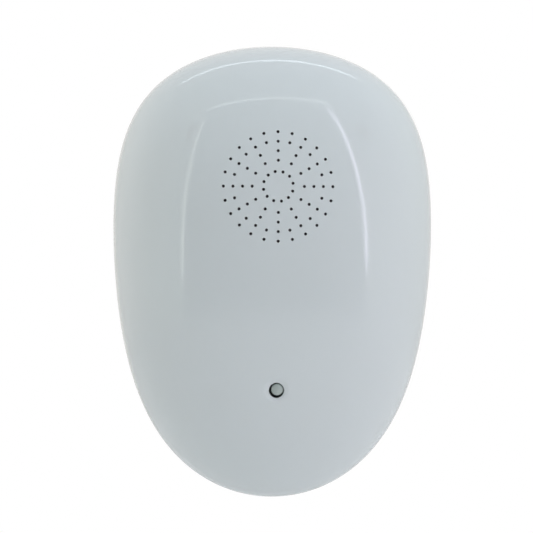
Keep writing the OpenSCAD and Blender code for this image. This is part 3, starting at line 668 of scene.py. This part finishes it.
def dimpled(xz):
    """The outer surface with the soft hollow round the indicator."""
    pts, n = outer.at(xz)
    d = xz - [0, LED_Z]
    r = np.hypot(d[:, 0], d[:, 1])
    u = np.clip((LED_HOLE_R + LED_DIMPLE_W - r) / LED_DIMPLE_W, 0, 1)
    drop = LED_DIMPLE_D * u * u * (3 - 2 * u) * 0.5 + LED_DIMPLE_D * u ** 3 * 0.5
    slope = -LED_DIMPLE_D * (3 * u * (1 - u) + 1.5 * u * u) / LED_DIMPLE_W
    out = d / np.maximum(r, 1e-6)[:, None]
    pts = pts.copy()
    pts[:, 1] += drop
    n = n.copy()
    up = -n[:, 1]
    n[:, 0] += up * slope * out[:, 0]
    n[:, 2] += up * slope * out[:, 1]
    return pts, n / np.linalg.norm(n, axis=1, keepdims=True)


cavity = facing_in(inner)
PATCH_SHARE = 0.72
cover = Shell()
holes = []
inner_holes = []
for radius, count, turn in GRILLE_RINGS:
    for i in range(count):
        a = math.radians(360 * i / count + turn)
        x, z = radius * math.sin(a), GRILLE_Z + radius * math.cos(a)
        holes.append(hole_loops(outer.at, x, z, SOUND_HOLE_R, SOUND_TURNS, SOUND_LIP, SOUND_GUARD))
        inner_holes.append([(circle(x, z, SOUND_HOLE_R, SOUND_TURNS), bent(cavity, x, z, 0, HALF_TILT))])
led_loops = [
    (circle(0, LED_Z, LED_HOLE_R, LED_TURNS), bent(dimpled, 0, LED_Z, LED_LIP, HOLE_TILT)),
    (circle(0, LED_Z, LED_HOLE_R + LED_LIP / 3, LED_TURNS),
     bent(dimpled, 0, LED_Z, LED_LIP / 3, HALF_TILT)),
]
for k in range(DIMPLE_RINGS):
    r = LED_HOLE_R + LED_LIP + (LED_DIMPLE_W + 0.1) * k / (DIMPLE_RINGS - 1)
    led_loops.append((circle(0, LED_Z, r, LED_TURNS), dimpled))
holes.append(led_loops)
inner_holes.append([(circle(0, LED_Z, LED_HOLE_R, LED_TURNS), bent(cavity, 0, LED_Z, 0, HALF_TILT))])

outer_shares = even_shares(outer, PATCH_SHARE, EDGE, 44)
outer_rings, outer_flats = dome_strip(cover, outer, outer_shares, outer.at)
outer_edges = patch(cover, (outer_rings[0], outer_flats[0]), 1.0, holes, dimpled)
inner_shares = even_shares(inner, PATCH_SHARE, RABBET_H, 24)
inner_rings, inner_flats = dome_strip(cover, inner, inner_shares, cavity)
inner_edges = patch(cover, (inner_rings[0], inner_flats[0]), 1.6, inner_holes, cavity)
for a, b in zip(outer_edges, inner_edges):
    cover.strip(a, b)
# The rim: a small radius, the face that meets the rear cover, and the rabbet for its tongue
rim = rounded_path([(0, EDGE), (0, 0), (RABBET_INSET, 0), (RABBET_INSET, RABBET_H),
                    (WALL + 0.2, RABBET_H)], 0.12, 3)
rings = rim_rings(cover, rim[1:-1], PARTING_Y, -1)
cover.strip(outer_rings[-1], rings[0])
cover.strip(rings[-1], inner_rings[-1])

# Bosses, posts and the speaker's seat inside
board_low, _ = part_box("circuit_board")
_, speaker_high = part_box("speaker_frame")
INTO_WALL = 1.0
POST_R = 2.4
SCREW_BOSS_R = 3.2
SMALL_BORE = 1.1
HOUSING_BORE = 1.5
RETAINER_R = 20
RETAINER_ANGLES = (90, 210, 330)
BOARD_POSTS = [(-20.5, -11), (20.5, -11), (-7, -43), (7, -43)]


def post_to_front(x, z, r, bore, y_back):
    top = inner.at(np.array([[x, z]]))[0][0][1] - INTO_WALL
    tube(cover, x, z, top, y_back, r, bore)


for x, z in WELLS:
    post_to_front(x, z, SCREW_BOSS_R, HOUSING_BORE, PARTING_Y)
for x, z in BOARD_POSTS:
    post_to_front(x, z, POST_R, SMALL_BORE, board_low.y / MM)
for degrees in RETAINER_ANGLES:
    a = math.radians(degrees)
    post_to_front(RETAINER_R * math.cos(a), GRILLE_Z + RETAINER_R * math.sin(a), POST_R, SMALL_BORE,
                  speaker_high.y / MM)
SEAT_R = (15.2, 17.8)
SEAT_EDGE = 0.15
SEAT_TURNS = 96


def seat_ring(r, in_wall, across, along):
    """Ring of the speaker's seat, at the cloth or sunk into the front wall."""
    xz = circle(0, GRILLE_Z, r, SEAT_TURNS)
    y = inner.at(xz)[0][:, 1] - 0.6 * INTO_WALL if in_wall else cloth_low.y / MM
    out = (xz - [0, GRILLE_Z]) / r
    return cover.add(lifted(xz, y), lifted(across * out, along))


cover.strips([seat_ring(SEAT_R[0], True, -1, 0), seat_ring(SEAT_R[0], False, -1, 0),
              seat_ring(SEAT_R[0] + SEAT_EDGE, False, 0, 1),
              seat_ring(SEAT_R[1] - SEAT_EDGE, False, 0, 1),
              seat_ring(SEAT_R[1], False, 1, 0), seat_ring(SEAT_R[1], True, 1, 0)])
cover.strip(seat_ring(SEAT_R[1], True, 0, -1), seat_ring(SEAT_R[0], True, 0, -1))
front_piece = cover.build("front_cover_shell", front_white)
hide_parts("front_cover")

# ---------- rear cover
RIM_Y = PARTING_Y + SHADOW_GAP
rear_outer = Dome(0, REAR_DEPTH - SHADOW_GAP, 2, BACK_FLAT, RIM_Y, 1)
rear_inner = Dome(WALL, REAR_DEPTH - WALL, 2, BACK_FLAT, PARTING_Y, 1)
rear_cavity = facing_in(rear_inner)
REAR_PATCH = 0.8
rear = Shell()


def rounded_loop(corners, radius, per_corner, spacing):
    """A closed convex outline with rounded corners and a point every so far along its sides:
    points, outward normals."""
    c = np.asarray(corners, float)
    if np.sum(c[:, 0] * np.roll(c[:, 1], -1) - np.roll(c[:, 0], -1) * c[:, 1]) > 0:
        c = c[::-1]
    pts, ns = [], []
    count = len(c)
    for i in range(count):
        a, b = c[i - 1] - c[i], c[(i + 1) % count] - c[i]
        lb = np.linalg.norm(b)
        a, b = a / np.linalg.norm(a), b / lb
        half = math.acos(float(a @ b)) / 2
        reach = radius / math.tan(half)
        centre = c[i] + (a + b) / np.linalg.norm(a + b) * radius / math.sin(half)
        start, end = c[i] + reach * a - centre, c[i] + reach * b - centre
        sweep = math.pi - 2 * half
        for k in range(per_corner + 1):
            u = k / per_corner
            d = (math.sin((1 - u) * sweep) * start + math.sin(u * sweep) * end) / math.sin(sweep)
            pts.append(centre + d)
            ns.append(d / radius)
        far = c[(i + 1) % count]
        a2, b2 = c[i] - far, c[(i + 2) % count] - far
        a2, b2 = a2 / np.linalg.norm(a2), b2 / np.linalg.norm(b2)
        next_reach = radius / math.tan(math.acos(float(a2 @ b2)) / 2)
        from_, to = c[i] + reach * b, far - next_reach * b
        parts = math.ceil(np.linalg.norm(to - from_) / spacing)
        for k in range(1, parts):
            pts.append(from_ + (to - from_) * k / parts)
            ns.append(ns[-1])
    return np.array(pts), np.array(ns)


BOSS_HALF_W = 35.3 / 2
BOSS_HALF_T = 13.7 / 2
BOSS_SLOPE = 4.6
BOSS_BLUNT = 2.4


def boss_corners(more):
    w, t = BOSS_HALF_W + more, BOSS_HALF_T + more
    return [(w, BOSS_BLUNT), (w - BOSS_SLOPE, t), (-w + BOSS_SLOPE, t), (-w, BOSS_BLUNT),
            (-w, -BOSS_BLUNT), (-w + BOSS_SLOPE, -t), (w - BOSS_SLOPE, -t), (w, -BOSS_BLUNT)]


def loop_edge(loop, surface, lip, guard):
    """Loops round a hole of any convex outline, from its edge outwards."""
    pts, ns = loop

    def make(drop, tilt):
        return lambda xz: sunk(surface, xz, -ns, drop, tilt)

    return [(pts, make(lip, HOLE_TILT)), (pts + 0.3 * lip * ns, make(0.3 * lip, HALF_TILT)),
            (pts + lip * ns, make(0, 0)), (pts + guard * ns, make(0, 0))]


BOSS_GAP = 0.1
LABEL_GAP = 0.25
boss_loop = rounded_loop(boss_corners(BOSS_GAP), 1.3, 5, 0.9)
label_x = (label_high.x - label_low.x) / 2 / MM + LABEL_GAP
label_z = (label_high.z - label_low.z) / 2 / MM + LABEL_GAP
LABEL_MID_Z = (label_high.z + label_low.z) / 2 / MM
RECESS = 0.2
label_loop = rounded_loop([(label_x, LABEL_MID_Z + label_z), (label_x, LABEL_MID_Z - label_z),
                           (-label_x, LABEL_MID_Z - label_z), (-label_x, LABEL_MID_Z + label_z)],
                          0.5, 5, 0.9)
rear_holes = [hole_loops(rear_outer.at, x, z, WELL_R, 48, 0.25, 0.6) for x, z in WELLS]
rear_holes.append(loop_edge(boss_loop, rear_outer.at, 0.12, 0.5))
rear_holes.append(loop_edge(label_loop, rear_outer.at, 0.05, 0.3))
rear_rings, rear_flats = dome_strip(rear, rear_outer, even_shares(rear_outer, REAR_PATCH, EDGE, 36),
                                    rear_outer.at)
rear_edges = patch(rear, (rear_rings[0], rear_flats[0]), 1.4, rear_holes, rear_outer.at)
TUBE_R = WELL_R + WELL_WALL
rear_inner_holes = [[(circle(x, z, TUBE_R, 48), bent(rear_cavity, x, z, 0, HALF_TILT))] for x, z in WELLS]
rear_inner_holes.append([(boss_loop[0], rear_cavity)])
back_rings, back_flats = dome_strip(rear, rear_inner, even_shares(rear_inner, REAR_PATCH, 0.01, 18),
                                    rear_cavity)
back_edges = patch(rear, (back_rings[0], back_flats[0]), 2.0, rear_inner_holes, rear_cavity)
for (x, z), top, bottom in zip(WELLS, rear_edges, back_edges):
    floor = BACK_Y - WELL_DEPTH
    path = rounded_path([(WELL_R, -1), (WELL_R, floor - BACK_Y), (SCREW_HOLE_R, floor - BACK_Y),
                         (SCREW_HOLE_R, PARTING_Y - BACK_Y), (TUBE_R, PARTING_Y - BACK_Y),
                         (TUBE_R, -WALL - 1)], 0.15, 3)
    well = lathe(rear, path, x, z, 48, BACK_Y)
    rear.strip(top, well[0])
    rear.strip(well[-1], bottom)
rear.strip(rear_edges[4], back_edges[4])
flat_y = BACK_Y - RECESS
pts, ns = label_loop
floor_ring = rear.add(lifted(pts, flat_y), np.tile([0, 1, 0], (len(pts), 1)))
rear.strip(rear_edges[5], floor_ring)
rear.cap(floor_ring, [0, flat_y, LABEL_MID_Z], [0, 1, 0])
tongue = rounded_path([(0, EDGE), (0, 0), (SHADOW_INSET, 0), (SHADOW_INSET, -SHADOW_GAP),
                       (TONGUE_INSET, -SHADOW_GAP), (TONGUE_INSET, -SHADOW_GAP - TONGUE_H),
                       (WALL, -SHADOW_GAP - TONGUE_H), (WALL, -SHADOW_GAP)], 0.12, 3)
rings = rim_rings(rear, tongue[1:-1], RIM_Y, 1)
rear.strip(rear_rings[-1], rings[0])
rear.strip(rings[-1], back_rings[-1])
EAR_X = 23
EAR_POST_L = 5.3
for x in (-EAR_X, EAR_X):
    tube(rear, x, 0, BACK_Y - WALL - EAR_POST_L, BACK_Y - WALL + 0.5, POST_R, SMALL_BORE)
rear_piece = rear.build("rear_cover_shell", rear_white)
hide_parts("rear_cover")

# ---------- plug
insert = Shell()


def loop_rings(shell, loop, path, base_y, way=1):
    """Rings of an outline along a path of ((inset, height), (across, along)) points."""
    pts, ns = loop
    rings = []
    for (inset, h), (across, along) in path:
        p = pts - inset * ns
        rings.append(shell.add(lifted(p, base_y + way * h), lifted(-across * ns, way * along)))
    shell.strips(rings)
    return rings


FACE_EDGE = 0.6
FACE_TURNS = 40
FLANGE_MORE = 2.6
FLANGE_T = 2
INSERT_END = insert_low.y / MM
plug_loop = rounded_loop(boss_corners(0), 1.2, 6, 0.8)
sides = rounded_path([(1.5, 0), (0, 0), (0, INSERT_END)], FACE_EDGE, 6)[1:]
plug_rings = loop_rings(insert, plug_loop, sides, 0)
sleeve_low, sleeve_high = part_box("live_pin_sleeve")
SLEEVE_R = (sleeve_high.x - sleeve_low.x) / 2 / MM
SLEEVE_IN = -sleeve_low.y / MM


def plug_face(xz):
    return lifted(xz, 0), np.tile([0.0, 1.0, 0.0], (len(xz), 1))


face_holes = [hole_loops(plug_face, x, 0, SLEEVE_R, FACE_TURNS, 0.15, 0.5) for x in (-PIN_X, PIN_X)]
face_edges = patch(insert, (plug_rings[0], plug_loop[0] - FACE_EDGE * plug_loop[1]), 1.1, face_holes,
                   plug_face)
for x, edge in zip((-PIN_X, PIN_X), face_edges):
    ring = insert.add(lifted(circle(x, 0, SLEEVE_R, FACE_TURNS), -SLEEVE_IN),
                      np.tile([0, 1, 0], (FACE_TURNS, 1)))
    insert.strip(edge, ring)
    insert.cap(ring, [x, -SLEEVE_IN, 0], [0, 1, 0])
insert.cap(plug_rings[-1], [0, INSERT_END, 0], [0, -1, 0])
flange = rounded_path([(8, 0), (0, 0), (0, -FLANGE_T), (8, -FLANGE_T)], 0.2, 3)
flange_loop = rounded_loop(boss_corners(FLANGE_MORE), 1.2, 6, 6)
flange_rings = loop_rings(insert, flange_loop, flange[1:-1], BACK_Y - WALL)
insert.cap(flange_rings[0], [0, BACK_Y - WALL, 0], [0, 1, 0])
insert.cap(flange_rings[-1], [0, BACK_Y - WALL - FLANGE_T, 0], [0, -1, 0])
EAR_T = 2
ear_w, ear_h = (insert_high.x - insert_low.x) / 2 / MM, 4.5
ear_loop = rounded_loop([(ear_w, ear_h), (ear_w, -ear_h), (-ear_w, -ear_h), (-ear_w, ear_h)], 1, 5, 6)
ear = rounded_path([(4, 0), (0, 0), (0, -EAR_T), (4, -EAR_T)], 0.2, 3)
ear_rings = loop_rings(insert, ear_loop, ear[1:-1], INSERT_END + EAR_T)
insert.cap(ear_rings[0], [0, INSERT_END + EAR_T, 0], [0, 1, 0])
insert.cap(ear_rings[-1], [0, INSERT_END, 0], [0, -1, 0])
insert_piece = insert.build("plug_insert_body", insert_white)
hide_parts("plug_insert")

PIN_R = 2.0
SLEEVE_WALL = 0.4
EYE_R = 0.7
TAB_HALF = (1.4, 2.5, 0.45)     # half the solder tab's width, length and thickness
TAB_TURNS = 48
for side, name in ((1, "live"), (-1, "neutral")):
    x = side * PIN_X
    _, pin_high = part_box(name + "_pin")
    tip = pin_high.y / MM
    bare = sleeve_high.y / MM
    neck = SLEEVE_R - SLEEVE_WALL
    path = [((PIN_R * math.sin(a), tip - PIN_R + PIN_R * math.cos(a)), (math.sin(a), math.cos(a)))
            for a in np.linspace(0, math.pi / 2, 13)]
    shank = rounded_path([(PIN_R, tip - PIN_R - 0.5), (PIN_R, bare), (neck, bare), (neck, INSERT_END)],
                         0.1, 3)
    path += [(p, -n) for p, n in shank]
    pin = Shell()
    rings = lathe(pin, path, x, 0, 64)
    pin.cap(rings[-1], [x, INSERT_END, 0], [0, -1, 0])
    a = np.linspace(0, 2 * math.pi, TAB_TURNS, endpoint=False)
    eye = np.stack([EYE_R * np.sin(a), EYE_R * np.cos(a)], 1)
    square = np.stack([np.sin(a), np.cos(a)], 1)
    square /= np.abs(square).max(1)[:, None]
    mid = np.array([x, INSERT_END - TAB_HALF[1]])
    tab_loop = square * TAB_HALF[:2] + mid
    eye_loop = eye + mid + [0, -EYE_R]
    for n in (1, -1):
        pin.strip(*[pin.add(np.insert(loop, 2, n * TAB_HALF[2], axis=1),
                            np.tile([0, 0, n], (TAB_TURNS, 1)))
                    for loop in (tab_loop, eye_loop)])
    for loop, out in ((tab_loop, square), (eye_loop, -eye)):
        pin.strip(*[pin.add(np.insert(loop, 2, n * TAB_HALF[2], axis=1), np.insert(out, 2, 0, axis=1))
                    for n in (1, -1)])
    piece = pin.build(name + "_pin_turned", nickel)
    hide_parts(name + "_pin")
    sleeve = Shell()
    length = bare + SLEEVE_IN
    path = rounded_path([(SLEEVE_R, length / 2), (SLEEVE_R, length), (neck, length), (neck, 0),
                         (SLEEVE_R, 0), (SLEEVE_R, length / 2)], 0.12, 3)
    lathe(sleeve, path, x, 0, 64, -SLEEVE_IN)
    piece = sleeve.build(name + "_sleeve_moulded", sleeve_black)
    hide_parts(name + "_pin_sleeve")

# ---------- indicator
LENS_R = 1.5
LENS_CROWN = 0.9
LENS_RIM_H = 1
lens_base, lens_tip = lens_high.y / MM, lens_low.y / MM
flange_r = (lens_high.x - lens_low.x) / 2 / MM
tall = lens_base - lens_tip
path = rounded_path([(0, 0), (flange_r, 0), (flange_r, LENS_RIM_H), (LENS_R, LENS_RIM_H),
                     (LENS_R, tall - LENS_CROWN)], 0.08, 3)
path += [((LENS_R * math.cos(a), tall - LENS_CROWN + LENS_CROWN * math.sin(a)),
          (math.cos(a) / LENS_R, math.sin(a) / LENS_CROWN)) for a in np.linspace(0.02, math.pi / 2, 14)]
lens = Shell()
lathe(lens, path, LENS_X, LENS_Z, 56, lens_base, -1)
lens_piece = lens.build("indicator_lens", led_epoxy)
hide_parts("led_lens")

# ---------- camera, light, floor
VIEW_WIDTH = 136.3              # width in mm that the picture shows at the parting plane
DISTANCE = 1.2
AZIMUTH = -3.3
ROLL = 0.25
AIM_SIDE = -1.46
AIM_UP = 1.31
scene = bpy.context.scene
camera_data = bpy.data.cameras.new("camera")
camera = bpy.data.objects.new("camera", camera_data)
scene.collection.objects.link(camera)
scene.camera = camera
camera_data.sensor_width = 36
camera_data.lens = camera_data.sensor_width * DISTANCE / (VIEW_WIDTH * MM)
camera_data.clip_start = 0.05
camera_data.clip_end = 20
azimuth = math.radians(AZIMUTH)
back = Vector((math.sin(azimuth), -math.cos(azimuth), 0))
right = Vector((math.cos(azimuth), math.sin(azimuth), 0))
CENTRE = Vector((0, PARTING_Y * MM, MID_Z * MM))
target = CENTRE + right * AIM_SIDE * MM + Vector((0, 0, AIM_UP * MM))
camera.location = target + back * DISTANCE
camera.rotation_mode = "QUATERNION"
camera.rotation_quaternion = back.to_track_quat("Z", "Y") @ Quaternion((0, 0, 1), math.radians(ROLL))


def area(name, place, along, length, width, power, colour=(1, 1, 1)):
    """A rectangular light at a place measured from the housing's middle. Its long side lies along
    the given direction and it faces the housing."""
    data = bpy.data.lights.new(name, "AREA")
    data.shape = "RECTANGLE"
    data.size, data.size_y = width, length
    data.energy = power
    data.color = colour
    light = bpy.data.objects.new(name, data)
    scene.collection.objects.link(light)
    place, along = Vector(place), Vector(along).normalized()
    away = (place - along * place.dot(along)).normalized()
    turn = Matrix((along.cross(away), along, away)).transposed()
    light.location = CENTRE + place
    light.rotation_mode = "QUATERNION"
    light.rotation_quaternion = turn.to_quaternion()
    light.visible_camera = False
    return light


# Most colours and strengths from here to PANEL_COLOUR were solved by another program, as a fit to
# the photo's shading.
# Big soft lights that only shade: what the glossy cover mirrors is painted in the world below
SOFTBOXES = [
    ("top_softbox", (0.15, -0.25, 1.0), (1, 0, 0), 1.2, 0.8, 4.40, (0.81, 0.94, 1.00)),
    ("right_softbox", (1.0, -0.45, 0.25), (0, 0, 1), 1.0, 0.8, 3.21, (1.00, 0.92, 0.97)),
    ("front_softbox", (0.1, -1.0, 0.75), (1, 0, 0), 1.2, 0.8, 1.39, (0.93, 0.95, 1.00)),
]
for box in SOFTBOXES:
    area(*box).visible_glossy = False

# Wide soft glows of the world: (towards, sharpness, colour)
GLOWS = [
    ((1, 0, 0), 2, (0.43, 0.40, 0.40)),
    ((-1, 0, 0), 2, (0.60, 0.56, 0.51)),
    ((0, 1, 0), 3, (0.85, 0.83, 0.80)),
    ((0, -1, 0), 2, (0.45, 0.44, 0.43)),
    ((1, -1, -1), 4, (0.62, 0.68, 0.66)),
    ((-1, -1, -1), 4, (0.35, 0.52, 0.40)),
    ((1, 0.3, 0.3), 6, (0.09, 0.16, 0.07)),
    ((-1, 0.3, 0.3), 6, (0.62, 0.62, 0.64)),
    ((-0.5, -0.4, 1), 6, (0.14, 0.11, 0.11)),
    ((0, 0.6, 1), 6, (0.52, 0.43, 0.41)),
]
PANEL_COLOUR = (0.08, 0.08, 0.08)
# The dark panel's edges: constant, linear and squared terms, in degrees to the side by degrees up
RIGHT_EDGE = (43.3, -0.42, 0.003)
LEFT_EDGE = (-40.6, 0.24, -0.0008)
UPPER_EDGE = (1.41, 0.09, 0.0)  # its upper edge, as slopes: up by across
PANEL_FOOT = -13.6
# How far each tube reaches: up in degrees for the side tubes, as slopes for the others
RIGHT_TUBE_SPAN = (-4.2, 47)
LEFT_TUBE_SPAN = (-5.8, 41)
CROWN_TUBE_SPAN = (-0.75, 0.75)
OVERHEAD_TUBE_SPAN = (-0.58, 0.56)
OVERHEAD_TUBE_CURVE = (0.265, 0.0, 0.22)
RIGHT_TUBE_COLOUR = (5.52, 5.24, 6.44)
LEFT_TUBE_COLOUR = (2.97, 3.14, 2.81)
CROWN_TUBE_COLOUR = (3.40, 3.60, 3.60)
OVERHEAD_TUBE_COLOUR = (4.75, 5.25, 5.75)
world = bpy.data.worlds.new("studio")
scene.world = world
world.use_nodes = True
wt = world.node_tree
wt.nodes.clear()


def math_node(kind, a, b=None):
    n = add(wt, "ShaderNodeMath", operation=kind)
    for i, v in enumerate((a, b)):
        if v is None:
            continue
        if isinstance(v, (int, float)):
            n.inputs[i].default_value = v
        else:
            wt.links.new(v, n.inputs[i])
    return n.outputs[0]


def vector_node(kind, a, b, name=""):
    n = add(wt, "ShaderNodeVectorMath", operation=kind)
    n.name = name or n.name
    for i, v in enumerate((a, b)):
        if isinstance(v, tuple):
            n.inputs[i].default_value = v
        else:
            wt.links.new(v, n.inputs[i])
    return n.outputs["Value" if kind == "DOT_PRODUCT" else "Vector"]


def step(value, where, soft, rising=True):
    low, high = (0, 1) if rising else (1, 0)
    result = spread(wt, value, low, high, where - soft, where + soft)
    result.node.interpolation_type = "SMOOTHSTEP"
    return result


def curve(value, a, b, c):
    """a + b * value + c * value squared."""
    slope = math_node("ADD", math_node("MULTIPLY", value, c), b)
    return math_node("ADD", math_node("MULTIPLY", value, slope), a)


def band(value, middle, half_width, soft):
    return step(math_node("ABSOLUTE", math_node("SUBTRACT", value, middle)), half_width, soft, False)


def product(*values):
    out = values[0]
    for v in values[1:]:
        out = math_node("MULTIPLY", out, v)
    return out


direction = wt.nodes.new("ShaderNodeTexCoord").outputs["Generated"]
split = wt.nodes.new("ShaderNodeSeparateXYZ")
wt.links.new(direction, split.inputs[0])
glow = None
for i, (way, sharpness, colour) in enumerate(GLOWS):
    toward = vector_node("DOT_PRODUCT", direction, tuple(Vector(way).normalized()))
    strength = math_node("POWER", math_node("MAXIMUM", toward, 0.0), sharpness)
    spot = vector_node("MULTIPLY", strength, colour, "glow_%d" % i)
    glow = spot if glow is None else vector_node("ADD", glow, spot)

# What the glossy cover mirrors: a dark panel with a thin light tube along its left, right and
# upper edge
DEGREES = 180 / math.pi
backward = math_node("MULTIPLY", split.outputs["Y"], -1.0)
turned = math_node("MULTIPLY", math_node("ARCTAN2", split.outputs["X"], backward), DEGREES)
raised = math_node("MULTIPLY", math_node("ARCSINE", split.outputs["Z"]), DEGREES)
ahead = math_node("MAXIMUM", backward, 0.0001)
across = math_node("DIVIDE", split.outputs["X"], ahead)
above = math_node("DIVIDE", split.outputs["Z"], ahead)
level = math_node("MAXIMUM", raised, -5.0)
right_edge = curve(level, *RIGHT_EDGE)
left_edge = curve(level, *LEFT_EDGE)
upper_edge = curve(across, *UPPER_EDGE)
panel = product(step(math_node("SUBTRACT", turned, left_edge), 0, 0.8),
                step(math_node("SUBTRACT", right_edge, turned), 0, 0.8),
                step(math_node("SUBTRACT", upper_edge, above), 0, 0.02),
                step(raised, PANEL_FOOT, 1.2), step(backward, 0.05, 0.04))
around = vector_node("MULTIPLY", glow, math_node("SUBTRACT", 1.0, panel))
total = vector_node("ADD", around, vector_node("MULTIPLY", panel, PANEL_COLOUR, "panel"))
# Overhead, in the plane above: how far to the right and how far back
over = math_node("MAXIMUM", split.outputs["Z"], 0.0001)
over_x = math_node("DIVIDE", split.outputs["X"], over)
over_y = math_node("DIVIDE", split.outputs["Y"], over)
right_tube = product(band(turned, right_edge, 1.0, 0.5), step(raised, RIGHT_TUBE_SPAN[0], 0.9),
                     step(raised, RIGHT_TUBE_SPAN[1], 2, False))
left_tube = product(band(turned, left_edge, 0.8, 0.5), step(raised, LEFT_TUBE_SPAN[0], 0.9),
                    step(raised, LEFT_TUBE_SPAN[1], 2, False))
crown_tube = product(band(above, upper_edge, 0.03, 0.015), step(across, CROWN_TUBE_SPAN[0], 0.15),
                     step(across, CROWN_TUBE_SPAN[1], 0.15, False), step(backward, 0.05, 0.04))
overhead_tube = product(band(over_y, curve(over_x, *OVERHEAD_TUBE_CURVE), 0.02, 0.012),
                        step(over_x, OVERHEAD_TUBE_SPAN[0], 0.06),
                        step(over_x, OVERHEAD_TUBE_SPAN[1], 0.06, False),
                        step(split.outputs["Z"], 0.1, 0.05))
for name, colour, shape in (("right_tube", RIGHT_TUBE_COLOUR, right_tube),
                            ("left_tube", LEFT_TUBE_COLOUR, left_tube),
                            ("crown_tube", CROWN_TUBE_COLOUR, crown_tube),
                            ("overhead_tube", OVERHEAD_TUBE_COLOUR, overhead_tube)):
    total = vector_node("ADD", total, vector_node("MULTIPLY", shape, colour, name))
soft = wt.nodes.new("ShaderNodeBackground")
wt.links.new(total, soft.inputs["Color"])
white = add(wt, "ShaderNodeBackground", Color=(1, 1, 1, 1))
mix = wt.nodes.new("ShaderNodeMixShader")
wt.links.new(wt.nodes.new("ShaderNodeLightPath").outputs["Is Camera Ray"], mix.inputs[0])
wt.links.new(soft.outputs[0], mix.inputs[1])
wt.links.new(white.outputs[0], mix.inputs[2])
wt.links.new(mix.outputs[0], wt.nodes.new("ShaderNodeOutputWorld").inputs[0])

FLOOR_DROP = 0.045
FLOOR_R = 0.6
FLOOR_SIDES = 96
floor_mesh = bpy.data.meshes.new("floor")
ring = [(FLOOR_R * math.cos(2 * math.pi * i / FLOOR_SIDES),
         FLOOR_R * math.sin(2 * math.pi * i / FLOOR_SIDES), 0) for i in range(FLOOR_SIDES)]
floor_mesh.from_pydata(ring, [], [tuple(range(FLOOR_SIDES))])
floor = bpy.data.objects.new("floor", floor_mesh)
floor.location = (0, PARTING_Y * MM, cad_low.z - FLOOR_DROP)
scene.collection.objects.link(floor)
fm, ft, fb = node_tree("pale_floor")
fb.inputs["Base Color"].default_value = (0.86, 0.87, 0.875, 1)
fb.inputs["Roughness"].default_value = 0.7
fco = coordinates(ft)
grad = add(ft, "ShaderNodeTexGradient", gradient_type="SPHERICAL")
fmap = add(ft, "ShaderNodeMapping")
fmap.inputs["Scale"].default_value = (1 / FLOOR_R, 1 / FLOOR_R, 1 / FLOOR_R)
ft.links.new(fco, fmap.inputs["Vector"])
ft.links.new(fmap.outputs[0], grad.inputs["Vector"])
ft.links.new(spread(ft, grad.outputs["Fac"], 0.0, 1.0, 0.0, 0.45), fb.inputs["Alpha"])
floor_mesh.materials.append(fm)

scene.view_settings.view_transform = "Standard"
scene.view_settings.look = "None"
scene.view_settings.exposure = 0
scene.view_settings.gamma = 1
